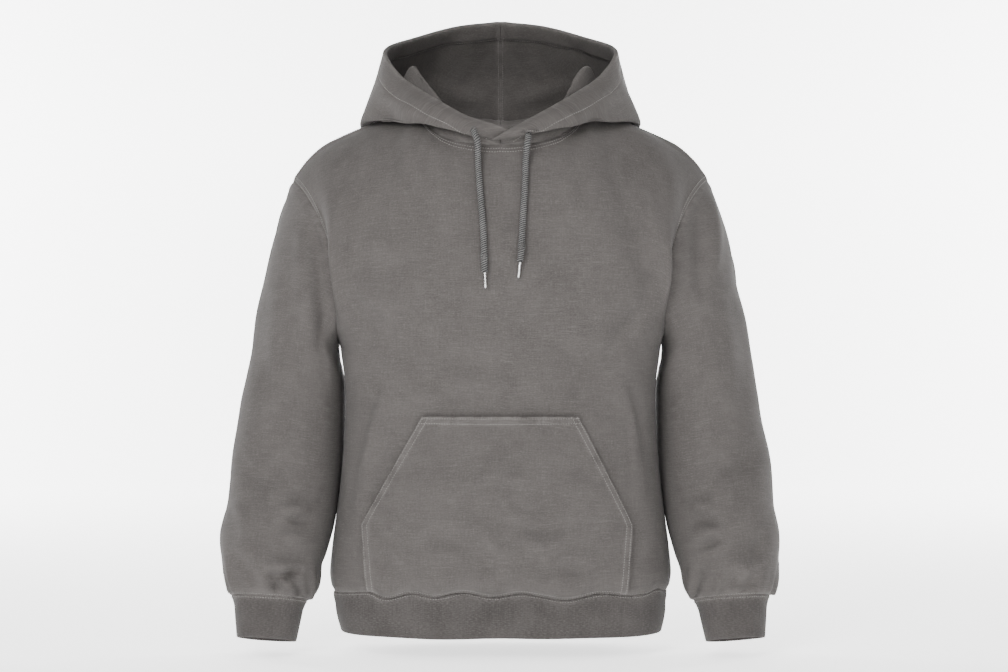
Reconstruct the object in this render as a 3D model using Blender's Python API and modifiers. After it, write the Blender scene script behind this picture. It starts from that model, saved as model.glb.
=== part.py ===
"""A pullover hoodie as worn, filled out with no wearer in it: one solid for each piece that is cut and sewn.

Metres, +Z up. The front faces -Y and the wearer's left side is +X. The origin lies between the shoulders, level with
the highest points of the shoulder seams, where the wearer holds the garment up. Every panel is a loft: a grid of
points on its outer face, worked out from the tables below, with a wall of cloth behind it. Panels that share a seam
share its points, and each is then drawn back from the seam by half of SEAM_GAP, or of ARMHOLE_GAP on a sleeve.
"""

import math
from collections import namedtuple

import bmesh
import bpy
import numpy as np
from mathutils import Vector

# ---------------------------------------------------------------- driving sizes
CLOTH = 0.0022          # fleece wall
RIB = 0.0028            # ribbed band wall
TAPE = 0.0010           # neck tape wall
SEAM_GAP = 0.0010       # between the walls of two panels at a seam
ARMHOLE_GAP = 0.0014    # drawn back from the ends of the sleeves, whose seams curve most

UNDERARM_Z = -0.312     # lowest point of the armhole
WAIST_SEAM_Z = -0.645
SHOULDER_TIP = (0.277, 0.004, -0.104)
ARMHOLE_HALF_DEPTH = 0.078
ARMHOLE_BOW_FRONT = 0.030   # how far the seam bows in towards the neck
ARMHOLE_BOW_BACK = 0.018
BOW_ABOVE, BOW_BELOW = 1.3, 2.4  # how quickly it bows in from the shoulder tip, and from the underarm

FRONT_SQUARENESS = 2.8  # superellipse exponents of the torso's front and back
BACK_SQUARENESS = 2.35
SLEEVE_SQUARENESS = 2.15

# Grid counts. Panels that meet share them.
NECK_COLUMNS = 6        # from the centre front to the high point of the shoulder
SHOULDER_COLUMNS = 4    # along each shoulder seam
SIDE_COLUMNS = NECK_COLUMNS + SHOULDER_COLUMNS
NAPE_COLUMNS = 6        # from the high point of the shoulder to the centre back
ARMHOLE_ROWS = 9        # from the underarm to the shoulder tip, front or back
TORSO_ROWS = 7          # from the waist seam to the underarm
SLEEVE_ROWS = 13
HOOD_ROWS = 16

# ---------------------------------------------------------------- tables
# Heights of the torso's rows, as shares of the way from the waist seam to the underarm.
TORSO_SPACING = [0.0, 0.045, 0.16, 0.33, 0.50, 0.67, 0.84, 1.0]

# Torso below the underarm, one row for each height: half width, and depth of the front and back from the side seam.
TorsoRing = namedtuple("TorsoRing", "z half_width front back")
TORSO = [
    TorsoRing(-0.645, 0.2195, 0.107, 0.098),
    TorsoRing(-0.632, 0.2255, 0.114, 0.105),
    TorsoRing(-0.600, 0.2240, 0.116, 0.107),
    TorsoRing(-0.545, 0.2165, 0.116, 0.107),
    TorsoRing(-0.490, 0.2095, 0.116, 0.107),
    TorsoRing(-0.430, 0.2040, 0.117, 0.108),
    TorsoRing(-0.385, 0.2015, 0.118, 0.109),
    TorsoRing(-0.345, 0.2045, 0.119, 0.110),
    TorsoRing(-0.312, 0.2150, 0.120, 0.111),
]

# Waistband below its seam.
WAISTBAND = [
    TorsoRing(-0.645, 0.2195, 0.107, 0.098),
    TorsoRing(-0.653, 0.2175, 0.106, 0.097),
    TorsoRing(-0.675, 0.2155, 0.106, 0.097),
    TorsoRing(-0.697, 0.2120, 0.103, 0.094),
]

# Shoulder seam from the neck to the shoulder tip.
ShoulderPoint = namedtuple("ShoulderPoint", "x y z")
SHOULDER = [
    ShoulderPoint(0.118, -0.004, -0.008),
    ShoulderPoint(0.160, -0.001, -0.023),
    ShoulderPoint(0.206, 0.002, -0.041),
    ShoulderPoint(0.238, 0.004, -0.057),
    ShoulderPoint(0.261, 0.004, -0.079),
    ShoulderPoint(*SHOULDER_TIP),
]

# Sleeve, one row for each section from the armhole to the cuff seam. The outer and inner edges are in the plane of the
# arm, half_depth is front to back, centre_y is how far back the section sits, and lean lifts its front edge.
SleeveSection = namedtuple("SleeveSection", "outer_x outer_z inner_x inner_z half_depth centre_y lean")
SLEEVE = [
    SleeveSection(0.2770, -0.104, 0.2150, -0.312, 0.078, 0.004, 0.0),
    SleeveSection(0.2950, -0.150, 0.2215, -0.343, 0.080, 0.016, 0.0),
    SleeveSection(0.3110, -0.210, 0.2160, -0.372, 0.078, 0.021, 0.0),
    SleeveSection(0.3255, -0.280, 0.2130, -0.402, 0.075, 0.025, 0.0),
    SleeveSection(0.3385, -0.350, 0.2120, -0.437, 0.073, 0.022, 0.0),
    SleeveSection(0.3495, -0.420, 0.2125, -0.478, 0.071, 0.014, 0.03),
    SleeveSection(0.3590, -0.490, 0.2155, -0.520, 0.070, 0.002, 0.07),
    SleeveSection(0.3650, -0.546, 0.2210, -0.560, 0.068, -0.012, 0.11),
    SleeveSection(0.3680, -0.589, 0.2300, -0.597, 0.065, -0.024, 0.15),
    SleeveSection(0.3640, -0.620, 0.2380, -0.626, 0.059, -0.032, 0.18),
    SleeveSection(0.3585, -0.640, 0.2457, -0.645, 0.053, -0.037, 0.20),
    SleeveSection(0.3530, -0.650, 0.2525, -0.656, 0.046, -0.039, 0.20),
]
CUFF = [
    SleeveSection(0.3530, -0.650, 0.2525, -0.656, 0.046, -0.039, 0.20),
    SleeveSection(0.3473, -0.658, 0.2590, -0.663, 0.042, -0.041, 0.20),
    SleeveSection(0.3450, -0.679, 0.2635, -0.684, 0.040, -0.046, 0.20),
    SleeveSection(0.3440, -0.702, 0.2670, -0.707, 0.039, -0.051, 0.20),
]

# Hood, one row for each direction round the neck, in degrees from the front: its neck seam, the crest of the roll
# that stands up inside, the crease behind that roll, the low fold that overhangs the shoulders, the outer wall low
# down and under the casing, and the lip of the opening.
HoodSection = namedtuple("HoodSection", "angle neck roll crease wing low_wall high_wall lip")
HOOD = [
    HoodSection(0, (0, -0.0960, -0.0640), (0, -0.0978, -0.0620), (0, -0.0995, -0.0602),
                (0, -0.1010, -0.0584), (0, -0.1030, -0.0566), (0, -0.1045, -0.0548), (0, -0.1060, -0.0530)),
    HoodSection(14, (0.0320, -0.0930, -0.0620), (0.0330, -0.0940, -0.0520), (0.0350, -0.0980, -0.0500),
                (0.0380, -0.1080, -0.0520), (0.0370, -0.1092, -0.0455), (0.0350, -0.1082, -0.0395),
                (0.0314, -0.1040, -0.0350)),
    HoodSection(28, (0.0620, -0.0840, -0.0560), (0.0640, -0.0800, -0.0260), (0.0650, -0.0850, -0.0360),
                (0.0660, -0.1050, -0.0460), (0.0685, -0.1036, -0.0340), (0.0690, -0.0996, -0.0235),
                (0.0657, -0.0920, -0.0150)),
    HoodSection(44, (0.0900, -0.0660, -0.0440), (0.0860, -0.0560, 0.0040), (0.0920, -0.0660, -0.0240),
                (0.1050, -0.0860, -0.0350), (0.1035, -0.0856, -0.0200), (0.0990, -0.0830, -0.0070),
                (0.0924, -0.0750, 0.0020)),
    HoodSection(62, (0.1100, -0.0360, -0.0220), (0.1120, -0.0260, 0.0430), (0.1200, -0.0360, -0.0020),
                (0.1460, -0.0540, -0.0300), (0.1440, -0.0535, -0.0080), (0.1370, -0.0520, 0.0140),
                (0.1275, -0.0450, 0.0275)),
    HoodSection(82, (0.1180, -0.0040, -0.0080), (0.1240, 0.0020, 0.0300), (0.1380, -0.0020, 0.0040),
                (0.1850, -0.0040, -0.0265), (0.1765, -0.0060, -0.0030), (0.1605, -0.0080, 0.0350),
                (0.1535, -0.0060, 0.0600)),
    HoodSection(104, (0.1120, 0.0280, -0.0080), (0.1210, 0.0340, 0.0080), (0.1400, 0.0480, -0.0160),
                (0.1780, 0.0640, -0.0460), (0.1790, 0.0620, -0.0180), (0.1640, 0.0460, 0.0430),
                (0.1530, 0.0300, 0.0780)),
    HoodSection(130, (0.0840, 0.0560, -0.0160), (0.0920, 0.0680, -0.0040), (0.1180, 0.1080, -0.0500),
                (0.1400, 0.1300, -0.1020), (0.1540, 0.1440, -0.0450), (0.1400, 0.1180, 0.0480),
                (0.1180, 0.0800, 0.0980)),
    HoodSection(155, (0.0440, 0.0730, -0.0230), (0.0480, 0.0860, -0.0130), (0.0660, 0.1280, -0.0700),
                (0.0780, 0.1580, -0.1400), (0.0920, 0.1880, -0.0780), (0.0840, 0.1690, 0.0500),
                (0.0620, 0.1130, 0.1180)),
    HoodSection(180, (0, 0.0780, -0.0260), (0, 0.0920, -0.0160), (0, 0.1340, -0.0780),
                (0, 0.1660, -0.1520), (0, 0.2040, -0.0880), (0, 0.1880, 0.0500), (0, 0.1250, 0.1265)),
]
SHOULDER_ANGLE = 82.0   # the hood's direction at the high point of the shoulder
LAP_ANGLE = 22.0        # the lips cross within this much of the centre front
LAP_REACH = 0.010       # how far the upper lip runs past the centre front
LAP_LIFT = 0.0034       # how far the upper lip stands off the lower one
LAP_DROP = 0.006        # how far the upper lip's end drops, and the lower one's rises
LAP_GAP = 0.0008        # between each half's edge and the centre front, below the crossing

# The fold of the chest that overhangs the sleeve: how far it stands out, sideways and forwards, at each height.
ChestFold = namedtuple("ChestFold", "z reach")
CHEST_FOLD = [
    ChestFold(-0.292, 0.0000),
    ChestFold(-0.278, 0.0020),
    ChestFold(-0.245, 0.0125),
    ChestFold(-0.190, 0.0160),
    ChestFold(-0.140, 0.0080),
    ChestFold(-0.105, 0.0000),
]
CHEST_FOLD_AT = 0.88    # its place between the centre front and the side, as a share
CHEST_FOLD_SPREAD = 0.14

# Kangaroo pocket, one row for each height: right and left edge, and how far it stands off the front.
PocketRow = namedtuple("PocketRow", "z right left stand_off")
POCKET = [
    PocketRow(-0.6425, -0.1715, 0.1625, 0.0012),
    PocketRow(-0.620, -0.1740, 0.1650, 0.0050),
    PocketRow(-0.590, -0.1760, 0.1670, 0.0085),
    PocketRow(-0.552, -0.1785, 0.1697, 0.0105),
    PocketRow(-0.517, -0.1590, 0.1523, 0.0110),
    PocketRow(-0.482, -0.1392, 0.1347, 0.0100),
    PocketRow(-0.447, -0.1193, 0.1171, 0.0065),
    PocketRow(-0.413, -0.1000, 0.0995, 0.0012),
]
POCKET_COLUMNS = 12
POCKET_CLEARANCE = 0.0021   # between the pocket's wall and the front, along its sewn edges
POCKET_BEND_Z = -0.545      # above it the pocket's sides slant and it stands off more evenly

# Neck tape: its edges below the neck seam, and how many of the back's columns it spans each side of the centre.
TAPE_LOW, TAPE_MIDDLE, TAPE_HIGH = 0.0115, 0.0065, 0.0012
TAPE_COLUMNS = 3
TAPE_CLEARANCE = 0.0008     # between the tape and the back panel's wall

# Drawcords from their eyelets down the chest to their tips: x and z of each point of the route.
CORD_RADIUS = 0.0037
CORD_REST = 0.0012      # between cord and chest
EYELET_Y = -0.1150      # where the cords leave the hood's casing
CordPoint = namedtuple("CordPoint", "x z")
CORD_RIGHT = [
    CordPoint(-0.0355, -0.0475), CordPoint(-0.0318, -0.0525), CordPoint(-0.0295, -0.0610),
    CordPoint(-0.0287, -0.0740), CordPoint(-0.0284, -0.0880), CordPoint(-0.0270, -0.1100),
    CordPoint(-0.0248, -0.1360), CordPoint(-0.0228, -0.1600), CordPoint(-0.0213, -0.1820),
    CordPoint(-0.0208, -0.2000), CordPoint(-0.0202, -0.2160), CordPoint(-0.0197, -0.2280),
]
CORD_LEFT = [
    CordPoint(0.0368, -0.0565), CordPoint(0.0352, -0.0615), CordPoint(0.0336, -0.0700),
    CordPoint(0.0325, -0.0830), CordPoint(0.0320, -0.1000), CordPoint(0.0310, -0.1225),
    CordPoint(0.0297, -0.1430), CordPoint(0.0286, -0.1610), CordPoint(0.0277, -0.1780),
    CordPoint(0.0270, -0.1930), CordPoint(0.0262, -0.2060), CordPoint(0.0252, -0.2150),
]
KNOT_RADIUS = 0.0068
KNOT_LENGTH = 0.0110
KNOT_ABOVE_END = 0.0190
TIP_RADIUS = 0.0016
TIP_LENGTH = 0.0210
TIP_GAP = 0.0004        # between a cord's end and its tip
KNOT_CLEARANCE = 0.0005     # between a cord and the knot round it
CHEST_TOP_Z = -0.080    # above it the cords no longer follow the chest
CORD_LEAVES_Z = -0.105  # where they start to rise from the chest towards their eyelets
CORD_LEAVE_HEIGHT = 0.045

CLOTH_COLOUR = (0.155, 0.145, 0.139)
RIB_COLOUR = (0.130, 0.121, 0.117)
TAPE_COLOUR = (0.300, 0.285, 0.275)
CORD_COLOUR = (0.200, 0.200, 0.200)
TIP_COLOUR = (0.750, 0.750, 0.760)


# ---------------------------------------------------------------- curves
def through(stops, values, at):
    """The value at `at` on a smooth curve through values at rising stops. A value may be a number or a point."""
    stops, values = np.asarray(stops, float), np.asarray(values, float)
    slopes = np.gradient(values, stops, axis=0)
    i = int(np.clip(np.searchsorted(stops, at, side="right") - 1, 0, len(stops) - 2))
    width = stops[i + 1] - stops[i]
    t = (at - stops[i]) / width
    return (
        (2 * t**3 - 3 * t**2 + 1) * values[i]
        + (t**3 - 2 * t**2 + t) * width * slopes[i]
        + (3 * t**2 - 2 * t**3) * values[i + 1]
        + (t**3 - t**2) * width * slopes[i + 1]
    )


def along(points, share):
    """The point at a share of the length of a smooth curve through points."""
    points = np.asarray(points, float)
    steps = np.linalg.norm(np.diff(points, axis=0), axis=1)
    stops = np.concatenate([[0.0], np.cumsum(np.maximum(steps, 1e-6))])
    return through(stops, points, share * stops[-1])


def column(table, name, at, key="z"):
    """One column of a table at a value of its key column."""
    return float(through([getattr(row, key) for row in table], [getattr(row, name) for row in table], at))


def eased(share):
    """A share from 0 to 1 with a soft start and end."""
    share = min(max(share, 0.0), 1.0)
    return share * share * (3.0 - 2.0 * share)


def power(value, exponent):
    """A signed power, for superellipses."""
    return math.copysign(abs(value) ** exponent, value)


# ---------------------------------------------------------------- torso
def ring_point(table, angle, z):
    """A point of the torso at a height: angle 0 is the centre front, +90 degrees the left side, 180 the back."""
    front = abs(angle) <= math.pi / 2
    squareness = FRONT_SQUARENESS if front else BACK_SQUARENESS
    depth = column(table, "front" if front else "back", z)
    x = column(table, "half_width", z) * power(math.sin(angle), 2 / squareness)
    return np.array([x, -depth * power(math.cos(angle), 2 / squareness), z])


def chest_fold(share, z):
    """How far the chest's fold stands out at a point: share runs from 0 at the centre to 1 at the armhole."""
    if not CHEST_FOLD[0].z < z < CHEST_FOLD[-1].z:
        return 0.0
    reach = column(CHEST_FOLD, "reach", z)
    return reach * math.exp(-(((share - CHEST_FOLD_AT) / CHEST_FOLD_SPREAD) ** 2))


def neck_point(angle_deg):
    """A point of the neck seam, for angles of either sign."""
    x, y, z = through([row.angle for row in HOOD], [row.neck for row in HOOD], abs(angle_deg))
    return np.array([math.copysign(x, angle_deg) if angle_deg else 0.0, y, z])


def armhole_point(turn, side):
    """A point of the armhole seam: turn 0 is the shoulder tip, +90 degrees the front, 180 the underarm."""
    first = SLEEVE[0]
    outer = np.array([first.outer_x, first.centre_y, first.outer_z])
    inner = np.array([first.inner_x, 0.0, first.inner_z])
    point = (outer + inner) / 2 + math.cos(turn) * (outer - inner) / 2
    bow = ARMHOLE_BOW_FRONT if math.sin(turn) > 0 else ARMHOLE_BOW_BACK
    sharpness = BOW_ABOVE if math.cos(turn) > 0 else BOW_BELOW
    point[0] -= bow * abs(math.sin(turn)) ** sharpness
    point[1] -= ARMHOLE_HALF_DEPTH * math.sin(turn)
    return point * (side, 1, 1)


def top_point(step, facing):
    """The point on a panel's top edge: step counts columns from its centre, and facing is +1 in front, -1 behind."""
    side, count = (1 if step >= 0 else -1), abs(step)
    if count <= NECK_COLUMNS:
        if facing > 0:
            return neck_point(side * SHOULDER_ANGLE * count / NECK_COLUMNS)
        angle = 180.0 - (180.0 - SHOULDER_ANGLE) * count / NAPE_COLUMNS
        return neck_point(side * angle)
    share = (count - NECK_COLUMNS) / SHOULDER_COLUMNS
    return along(SHOULDER, share) * (side, 1, 1)


def yoke_point(step, row, facing):
    """A point of a panel above the underarm, on a curve that leaves the chest upright and arrives at the top edge."""
    side, share = (1 if step >= 0 else -1), abs(step) / SIDE_COLUMNS
    angle = math.radians(90 * share) if facing > 0 else math.pi - math.radians(90 * share)
    low = ring_point(TORSO, side * angle, UNDERARM_Z)
    top = top_point(step, facing)
    over = eased(abs(step) / NECK_COLUMNS)
    reach = (0.058 + 0.022 * over) if facing > 0 else (0.050 + 0.030 * over)
    arrive = np.array([0.0, -facing * (0.30 + 0.65 * over), -0.95 + 0.65 * over])
    first = low + (0, -facing * 0.004, 0.52 * (top[2] - low[2]))
    second = top + reach * arrive
    t = (1 - math.cos(math.pi * row / ARMHOLE_ROWS)) / 2  # level with the rows of the armhole
    point = (1 - t) ** 3 * low + 3 * t * (1 - t) ** 2 * first + 3 * t**2 * (1 - t) * second + t**3 * top
    return point


def panel_point(step, row, facing):
    """A point of the front (facing +1) or back (facing -1) panel. Row 0 is the waist seam."""
    side, share = (1 if step >= 0 else -1), abs(step) / SIDE_COLUMNS
    if row <= TORSO_ROWS:
        z = WAIST_SEAM_Z + (UNDERARM_Z - WAIST_SEAM_Z) * TORSO_SPACING[row]
        angle = math.radians(90 * share) if facing > 0 else math.pi - math.radians(90 * share)
        point = ring_point(TORSO, side * angle, z)
    else:
        rise = row - TORSO_ROWS
        point = yoke_point(step, rise, facing)
        edge = yoke_point(side * SIDE_COLUMNS, rise, facing)
        turn = facing * math.pi * (1 - rise / ARMHOLE_ROWS)
        point = point + (armhole_point(turn, side) - edge) * (share**4, share**2, share**4)
    if facing > 0 and share < 1:
        point += chest_fold(share, point[2]) * np.array([side, -1, 0])
    return point



def panel_grid(facing):
    """The panel's rows from the waist seam up, each from the wearer's right to the left."""
    steps = range(-SIDE_COLUMNS, SIDE_COLUMNS + 1)
    return np.array([
        [panel_point(step, row, facing) for step in steps]
        for row in range(TORSO_ROWS + ARMHOLE_ROWS + 1)
    ])


def ring_grid(table, heights):
    """A closed band on the torso, with the panels' own columns: rows from the lowest height up."""
    front = [math.radians(90 * step / SIDE_COLUMNS) for step in range(-SIDE_COLUMNS, SIDE_COLUMNS)]
    back = [math.radians(90 + 90 * step / SIDE_COLUMNS) for step in range(2 * SIDE_COLUMNS)]
    angles = front + [a if a <= math.pi else a - 2 * math.pi for a in back]
    rising = table[::-1]
    return np.array([[ring_point(rising, angle, z) for angle in angles] for z in heights])


# ---------------------------------------------------------------- sleeves
def tube_point(table, share, turn, side):
    """A point of a sleeve or cuff: share runs from its upper seam to its lower one, turn as on the armhole."""
    stops = np.linspace(0, 1, len(table))
    row = SleeveSection(*through(stops, table, share))
    outer = np.array([row.outer_x, row.centre_y, row.outer_z])
    inner = np.array([row.inner_x, row.centre_y, row.inner_z])
    across = power(math.cos(turn), 2 / SLEEVE_SQUARENESS)
    forward = power(math.sin(turn), 2 / SLEEVE_SQUARENESS)
    point = (outer + inner) / 2 + across * (outer - inner) / 2
    point += forward * row.half_depth * np.array([0, -1, row.lean])
    return point * (side, 1, 1)


def sleeve_point(share, turn, side):
    """A point of the sleeve, which leaves the armhole on its bowed seam and settles into plain sections."""
    point = tube_point(SLEEVE, share, turn, side)
    settle = (1 - min(share / 0.22, 1.0)) ** 2
    return point + (armhole_point(turn, side) - tube_point(SLEEVE, 0, turn, side)) * settle


def turns():
    """Directions round a sleeve, from the shoulder tip forwards and round."""
    return [math.pi * step / ARMHOLE_ROWS for step in range(2 * ARMHOLE_ROWS)]


def signed(turn):
    return turn if turn <= math.pi else turn - 2 * math.pi


def sleeve_grid(side):
    """The sleeve's rows from the armhole to the cuff seam."""
    shares = [row / SLEEVE_ROWS for row in range(SLEEVE_ROWS + 1)]
    return np.array([[sleeve_point(share, signed(turn), side) for turn in turns()] for share in shares])


def cuff_grid(side):
    return np.array([[tube_point(CUFF, share, signed(turn), side) for turn in turns()]
                     for share in (0, 0.18, 0.5, 1)])


# ---------------------------------------------------------------- hood
def hood_point(angle_deg, share, side):
    """A point of one half of the hood: share runs from the neck seam over the roll and the wing to the lip."""
    stops = [row.angle for row in HOOD]
    marks = [through(stops, [getattr(row, name) for row in HOOD], angle_deg) for name in HoodSection._fields[1:]]
    point = along(marks, share) * (side, 1, 1)
    near = eased(1 - angle_deg / LAP_ANGLE)
    cross = eased((share - 0.45) / 0.55) * near
    apart = LAP_GAP * eased(share / 0.06) * near * (1 - cross)
    if side > 0:
        lift = eased(share / 0.30) * near
        return point + (apart - LAP_REACH * cross, -LAP_LIFT * lift, -LAP_DROP * cross)
    return point + (LAP_REACH * cross - apart, 0.0, LAP_DROP * cross)


def hood_angles():
    """Directions round the neck that match the columns of the front and back panels."""
    front = [SHOULDER_ANGLE * step / NECK_COLUMNS for step in range(NECK_COLUMNS)]
    back = [SHOULDER_ANGLE + (180 - SHOULDER_ANGLE) * step / NAPE_COLUMNS for step in range(NAPE_COLUMNS + 1)]
    return front + back


def hood_grid(side):
    """One half of the hood, rows from the neck seam to the lip, columns from the centre front to the back."""
    return np.array([[hood_point(angle, row / HOOD_ROWS, side) for angle in hood_angles()]
                     for row in range(HOOD_ROWS + 1)])


# ---------------------------------------------------------------- pieces on the panels
def front_y(x, z):
    """How far forward the lower front lies at a place."""
    half_width, depth = column(TORSO, "half_width", z), column(TORSO, "front", z)
    return -depth * (1 - min(abs(x) / half_width, 0.999) ** FRONT_SQUARENESS) ** (1 / FRONT_SQUARENESS)


def pocket_grid():
    """The pocket's outer face, which stands off the front most in the middle and lies close along its sewn edges."""
    rows = []
    for row in POCKET:
        points = []
        for step in range(POCKET_COLUMNS + 1):
            share = step / POCKET_COLUMNS
            x = row.right + (row.left - row.right) * share
            crown = math.sin(math.pi * share) ** (0.5 if row.z > POCKET_BEND_Z else 0.8)
            lift = CLOTH + POCKET_CLEARANCE + row.stand_off * (0.25 + 0.75 * crown)
            points.append((x, front_y(x, row.z) - lift, row.z))
        rows.append(points)
    return np.array(rows)


def down_column(points, distance):
    """The point at a distance down a column of a panel, whose points start at its top edge."""
    run = np.concatenate([[0.0], np.cumsum(np.linalg.norm(np.diff(points, axis=0), axis=1))])
    return np.array([np.interp(distance, run, points[:, axis]) for axis in range(3)])


def neck_tape_grid(back):
    """A strip over the inside of the neck seam at the nape, made from the back panel's upper points."""
    steps = range(SIDE_COLUMNS - TAPE_COLUMNS, SIDE_COLUMNS + TAPE_COLUMNS + 1)
    return np.array([[down_column(back[::-1, i], drop) for i in steps] for drop in (TAPE_LOW, TAPE_MIDDLE, TAPE_HIGH)])


# ---------------------------------------------------------------- meshes
def finish_material(name, colour, roughness, metallic=0.0):
    """A Principled material, made once for each name."""
    material = bpy.data.materials.get(name) or bpy.data.materials.new(name)
    material.use_nodes = True
    shader = material.node_tree.nodes["Principled BSDF"]
    shader.inputs["Base Color"].default_value = (*colour, 1)
    shader.inputs["Roughness"].default_value = roughness
    shader.inputs["Metallic"].default_value = metallic
    return material


def place(name, mesh, material):
    """A named object for a finished mesh, in the hoodie's collection."""
    mesh.materials.append(material)
    mesh.shade_smooth()
    mesh.set_sharp_from_angle(angle=math.radians(40))
    obj = bpy.data.objects.new(name, mesh)
    bpy.data.collections["hoodie"].objects.link(obj)
    return obj


def grid_normals(grid, around):
    """Unit normals of a grid's outer face. The face is on the side of the column direction crossed with the rows."""
    if around:
        wide = np.concatenate([grid[:, -1:], grid, grid[:, :1]], axis=1)
        across = (wide[:, 2:] - wide[:, :-2])
    else:
        across = np.gradient(grid, axis=1)
    up = np.gradient(grid, axis=0)
    normals = np.cross(across, up)
    lengths = np.linalg.norm(normals, axis=2, keepdims=True)
    return normals / np.maximum(lengths, 1e-12)


class Panel:
    """A sheet of cloth: the grid of its outer face, whether it closes on itself, and its wall."""

    def __init__(self, name, grid, wall, material, around=False, flip=False):
        self.name, self.grid, self.wall, self.material, self.around = name, grid, wall, material, around
        self.normals = grid_normals(grid, around) * (-1 if flip else 1)
        self.flip = flip

    def border(self):
        """Row and column of each point on an open edge."""
        rows, columns = self.grid.shape[:2]
        for i in range(rows):
            for j in range(columns):
                if i in (0, rows - 1) or (not self.around and j in (0, columns - 1)):
                    yield i, j

    def inward(self, i, j):
        """Unit steps from a point on an open edge into the sheet: one of them, or two at a corner."""
        rows, columns = self.grid.shape[:2]
        targets = []
        if i in (0, rows - 1):
            targets.append(self.grid[1 if i == 0 else rows - 2, j])
        if not self.around and j in (0, columns - 1):
            targets.append(self.grid[i, 1 if j == 0 else columns - 2])
        steps = [target - self.grid[i, j] for target in targets]
        return [step / max(np.linalg.norm(step), 1e-9) for step in steps]

    def draw_back(self, gap):
        """Moves the open edges into the sheet by a gap, so that they stay clear of the neighbours."""
        moves = {(i, j): sum(self.inward(i, j)) * gap for i, j in self.border()}
        for (i, j), move in moves.items():
            self.grid[i, j] += move

    def build(self):
        """The closed wall: outer face, inner face and a rim along each open edge."""
        rows, columns = self.grid.shape[:2]
        mesh = bmesh.new()
        faces_of = []
        for surface in (self.grid, self.grid - self.normals * self.wall):
            faces_of.append([[mesh.verts.new(Vector(p)) for p in line] for line in surface])
        outer, inner = faces_of
        wrap = columns if self.around else columns - 1

        def quad(a, b, c, d):
            mesh.faces.new((a, d, c, b) if self.flip else (a, b, c, d))

        for i in range(rows - 1):
            for j in range(wrap):
                k = (j + 1) % columns
                quad(outer[i][j], outer[i][k], outer[i + 1][k], outer[i + 1][j])
                quad(inner[i][j], inner[i + 1][j], inner[i + 1][k], inner[i][k])
        for j in range(wrap):
            k = (j + 1) % columns
            quad(outer[0][k], outer[0][j], inner[0][j], inner[0][k])
            quad(outer[-1][j], outer[-1][k], inner[-1][k], inner[-1][j])
        if not self.around:
            for i in range(rows - 1):
                quad(outer[i][0], outer[i + 1][0], inner[i + 1][0], inner[i][0])
                quad(outer[i + 1][-1], outer[i][-1], inner[i][-1], inner[i + 1][-1])
        bmesh.ops.triangulate(mesh, faces=mesh.faces[:])
        data = bpy.data.meshes.new(self.name)
        mesh.to_mesh(data)
        mesh.free()
        return place(self.name, data, self.material)


def share_normals(panels):
    """Gives panels one common wall direction at each point of a seam that they share: outwards in the middle of the
    angle between them, also where two sheets lie nearly face to face."""
    found = {}
    for panel in panels:
        for i, j in panel.border():
            found.setdefault(tuple(np.round(panel.grid[i, j], 5)), []).append((panel, i, j))
    for places in (p for p in found.values() if len(p) > 1):
        normals = [panel.normals[i, j] for panel, i, j in places]
        steps = [sum(panel.inward(i, j)) for panel, i, j in places]
        facing = sum(float(n @ d) for a, n in enumerate(normals) for b, d in enumerate(steps) if a != b)
        total = np.unique(np.round(normals, 6), axis=0).sum(axis=0) + math.copysign(1, facing) * sum(steps)
        total = total / np.linalg.norm(total)
        for panel, i, j in places:
            panel.normals[i, j] = total


# ---------------------------------------------------------------- cords
def chest_y(x, z, front):
    """How far forward the front panel lies at a place on the chest, read from its grid."""
    heights = [np.interp(x, row[:, 0], row[:, 2]) for row in front[TORSO_ROWS:]]
    depths = [np.interp(x, row[:, 0], row[:, 1]) for row in front[TORSO_ROWS:]]
    return float(np.interp(z, heights, depths))


def cord_route(points, front):
    """The cord's points in space: out of its eyelet in the casing, then down the chest and over its own knot."""
    knot_z = points[-1].z + KNOT_ABOVE_END
    route = []
    for point in points:
        knot = math.exp(-(((point.z - knot_z) / (2.5 * KNOT_LENGTH)) ** 2))
        stand_off = CORD_REST + CORD_RADIUS + (KNOT_RADIUS - CORD_RADIUS) * knot
        rest = chest_y(point.x, min(point.z, CHEST_TOP_Z), front) - stand_off
        leave = eased((point.z - CORD_LEAVES_Z) / CORD_LEAVE_HEIGHT)
        route.append((point.x, rest + (EYELET_Y - rest) * leave, point.z))
    return np.array(route)


def cord(name, route, radius, material):
    """A tube along a smooth curve through the route."""
    curve = bpy.data.curves.new(name, "CURVE")
    curve.dimensions = "3D"
    curve.bevel_depth = radius
    curve.bevel_resolution = 2
    curve.use_fill_caps = True
    spline = curve.splines.new("POLY")
    count = 2 * len(route) - 1
    spline.points.add(count - 1)
    for i in range(count):
        spline.points[i].co = (*along(route, i / (count - 1)), 1)
    curve.materials.append(material)
    obj = bpy.data.objects.new(name, curve)
    bpy.data.collections["hoodie"].objects.link(obj)
    return obj


def turned(name, profile, steps, at, axis, material):
    """A ring or pin turned round an axis: profile is (radius, height) pairs, top to bottom on its outer side."""
    mesh = bmesh.new()
    verts = [mesh.verts.new((radius, 0, height)) for radius, height in profile]
    for a, b in zip(verts, verts[1:]):
        mesh.edges.new((a, b))
    if profile[0][0] > 0:
        mesh.edges.new((verts[-1], verts[0]))
    data = bpy.data.meshes.new(name)
    mesh.to_mesh(data)
    mesh.free()
    obj = place(name, data, material)
    screw = obj.modifiers.new("turn", "SCREW")
    screw.steps = screw.render_steps = steps
    screw.use_merge_vertices = True
    screw.merge_threshold = 0.0001
    obj.location = at
    obj.rotation_mode = "QUATERNION"
    obj.rotation_quaternion = Vector((0, 0, 1)).rotation_difference(Vector(axis))
    return obj


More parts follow.
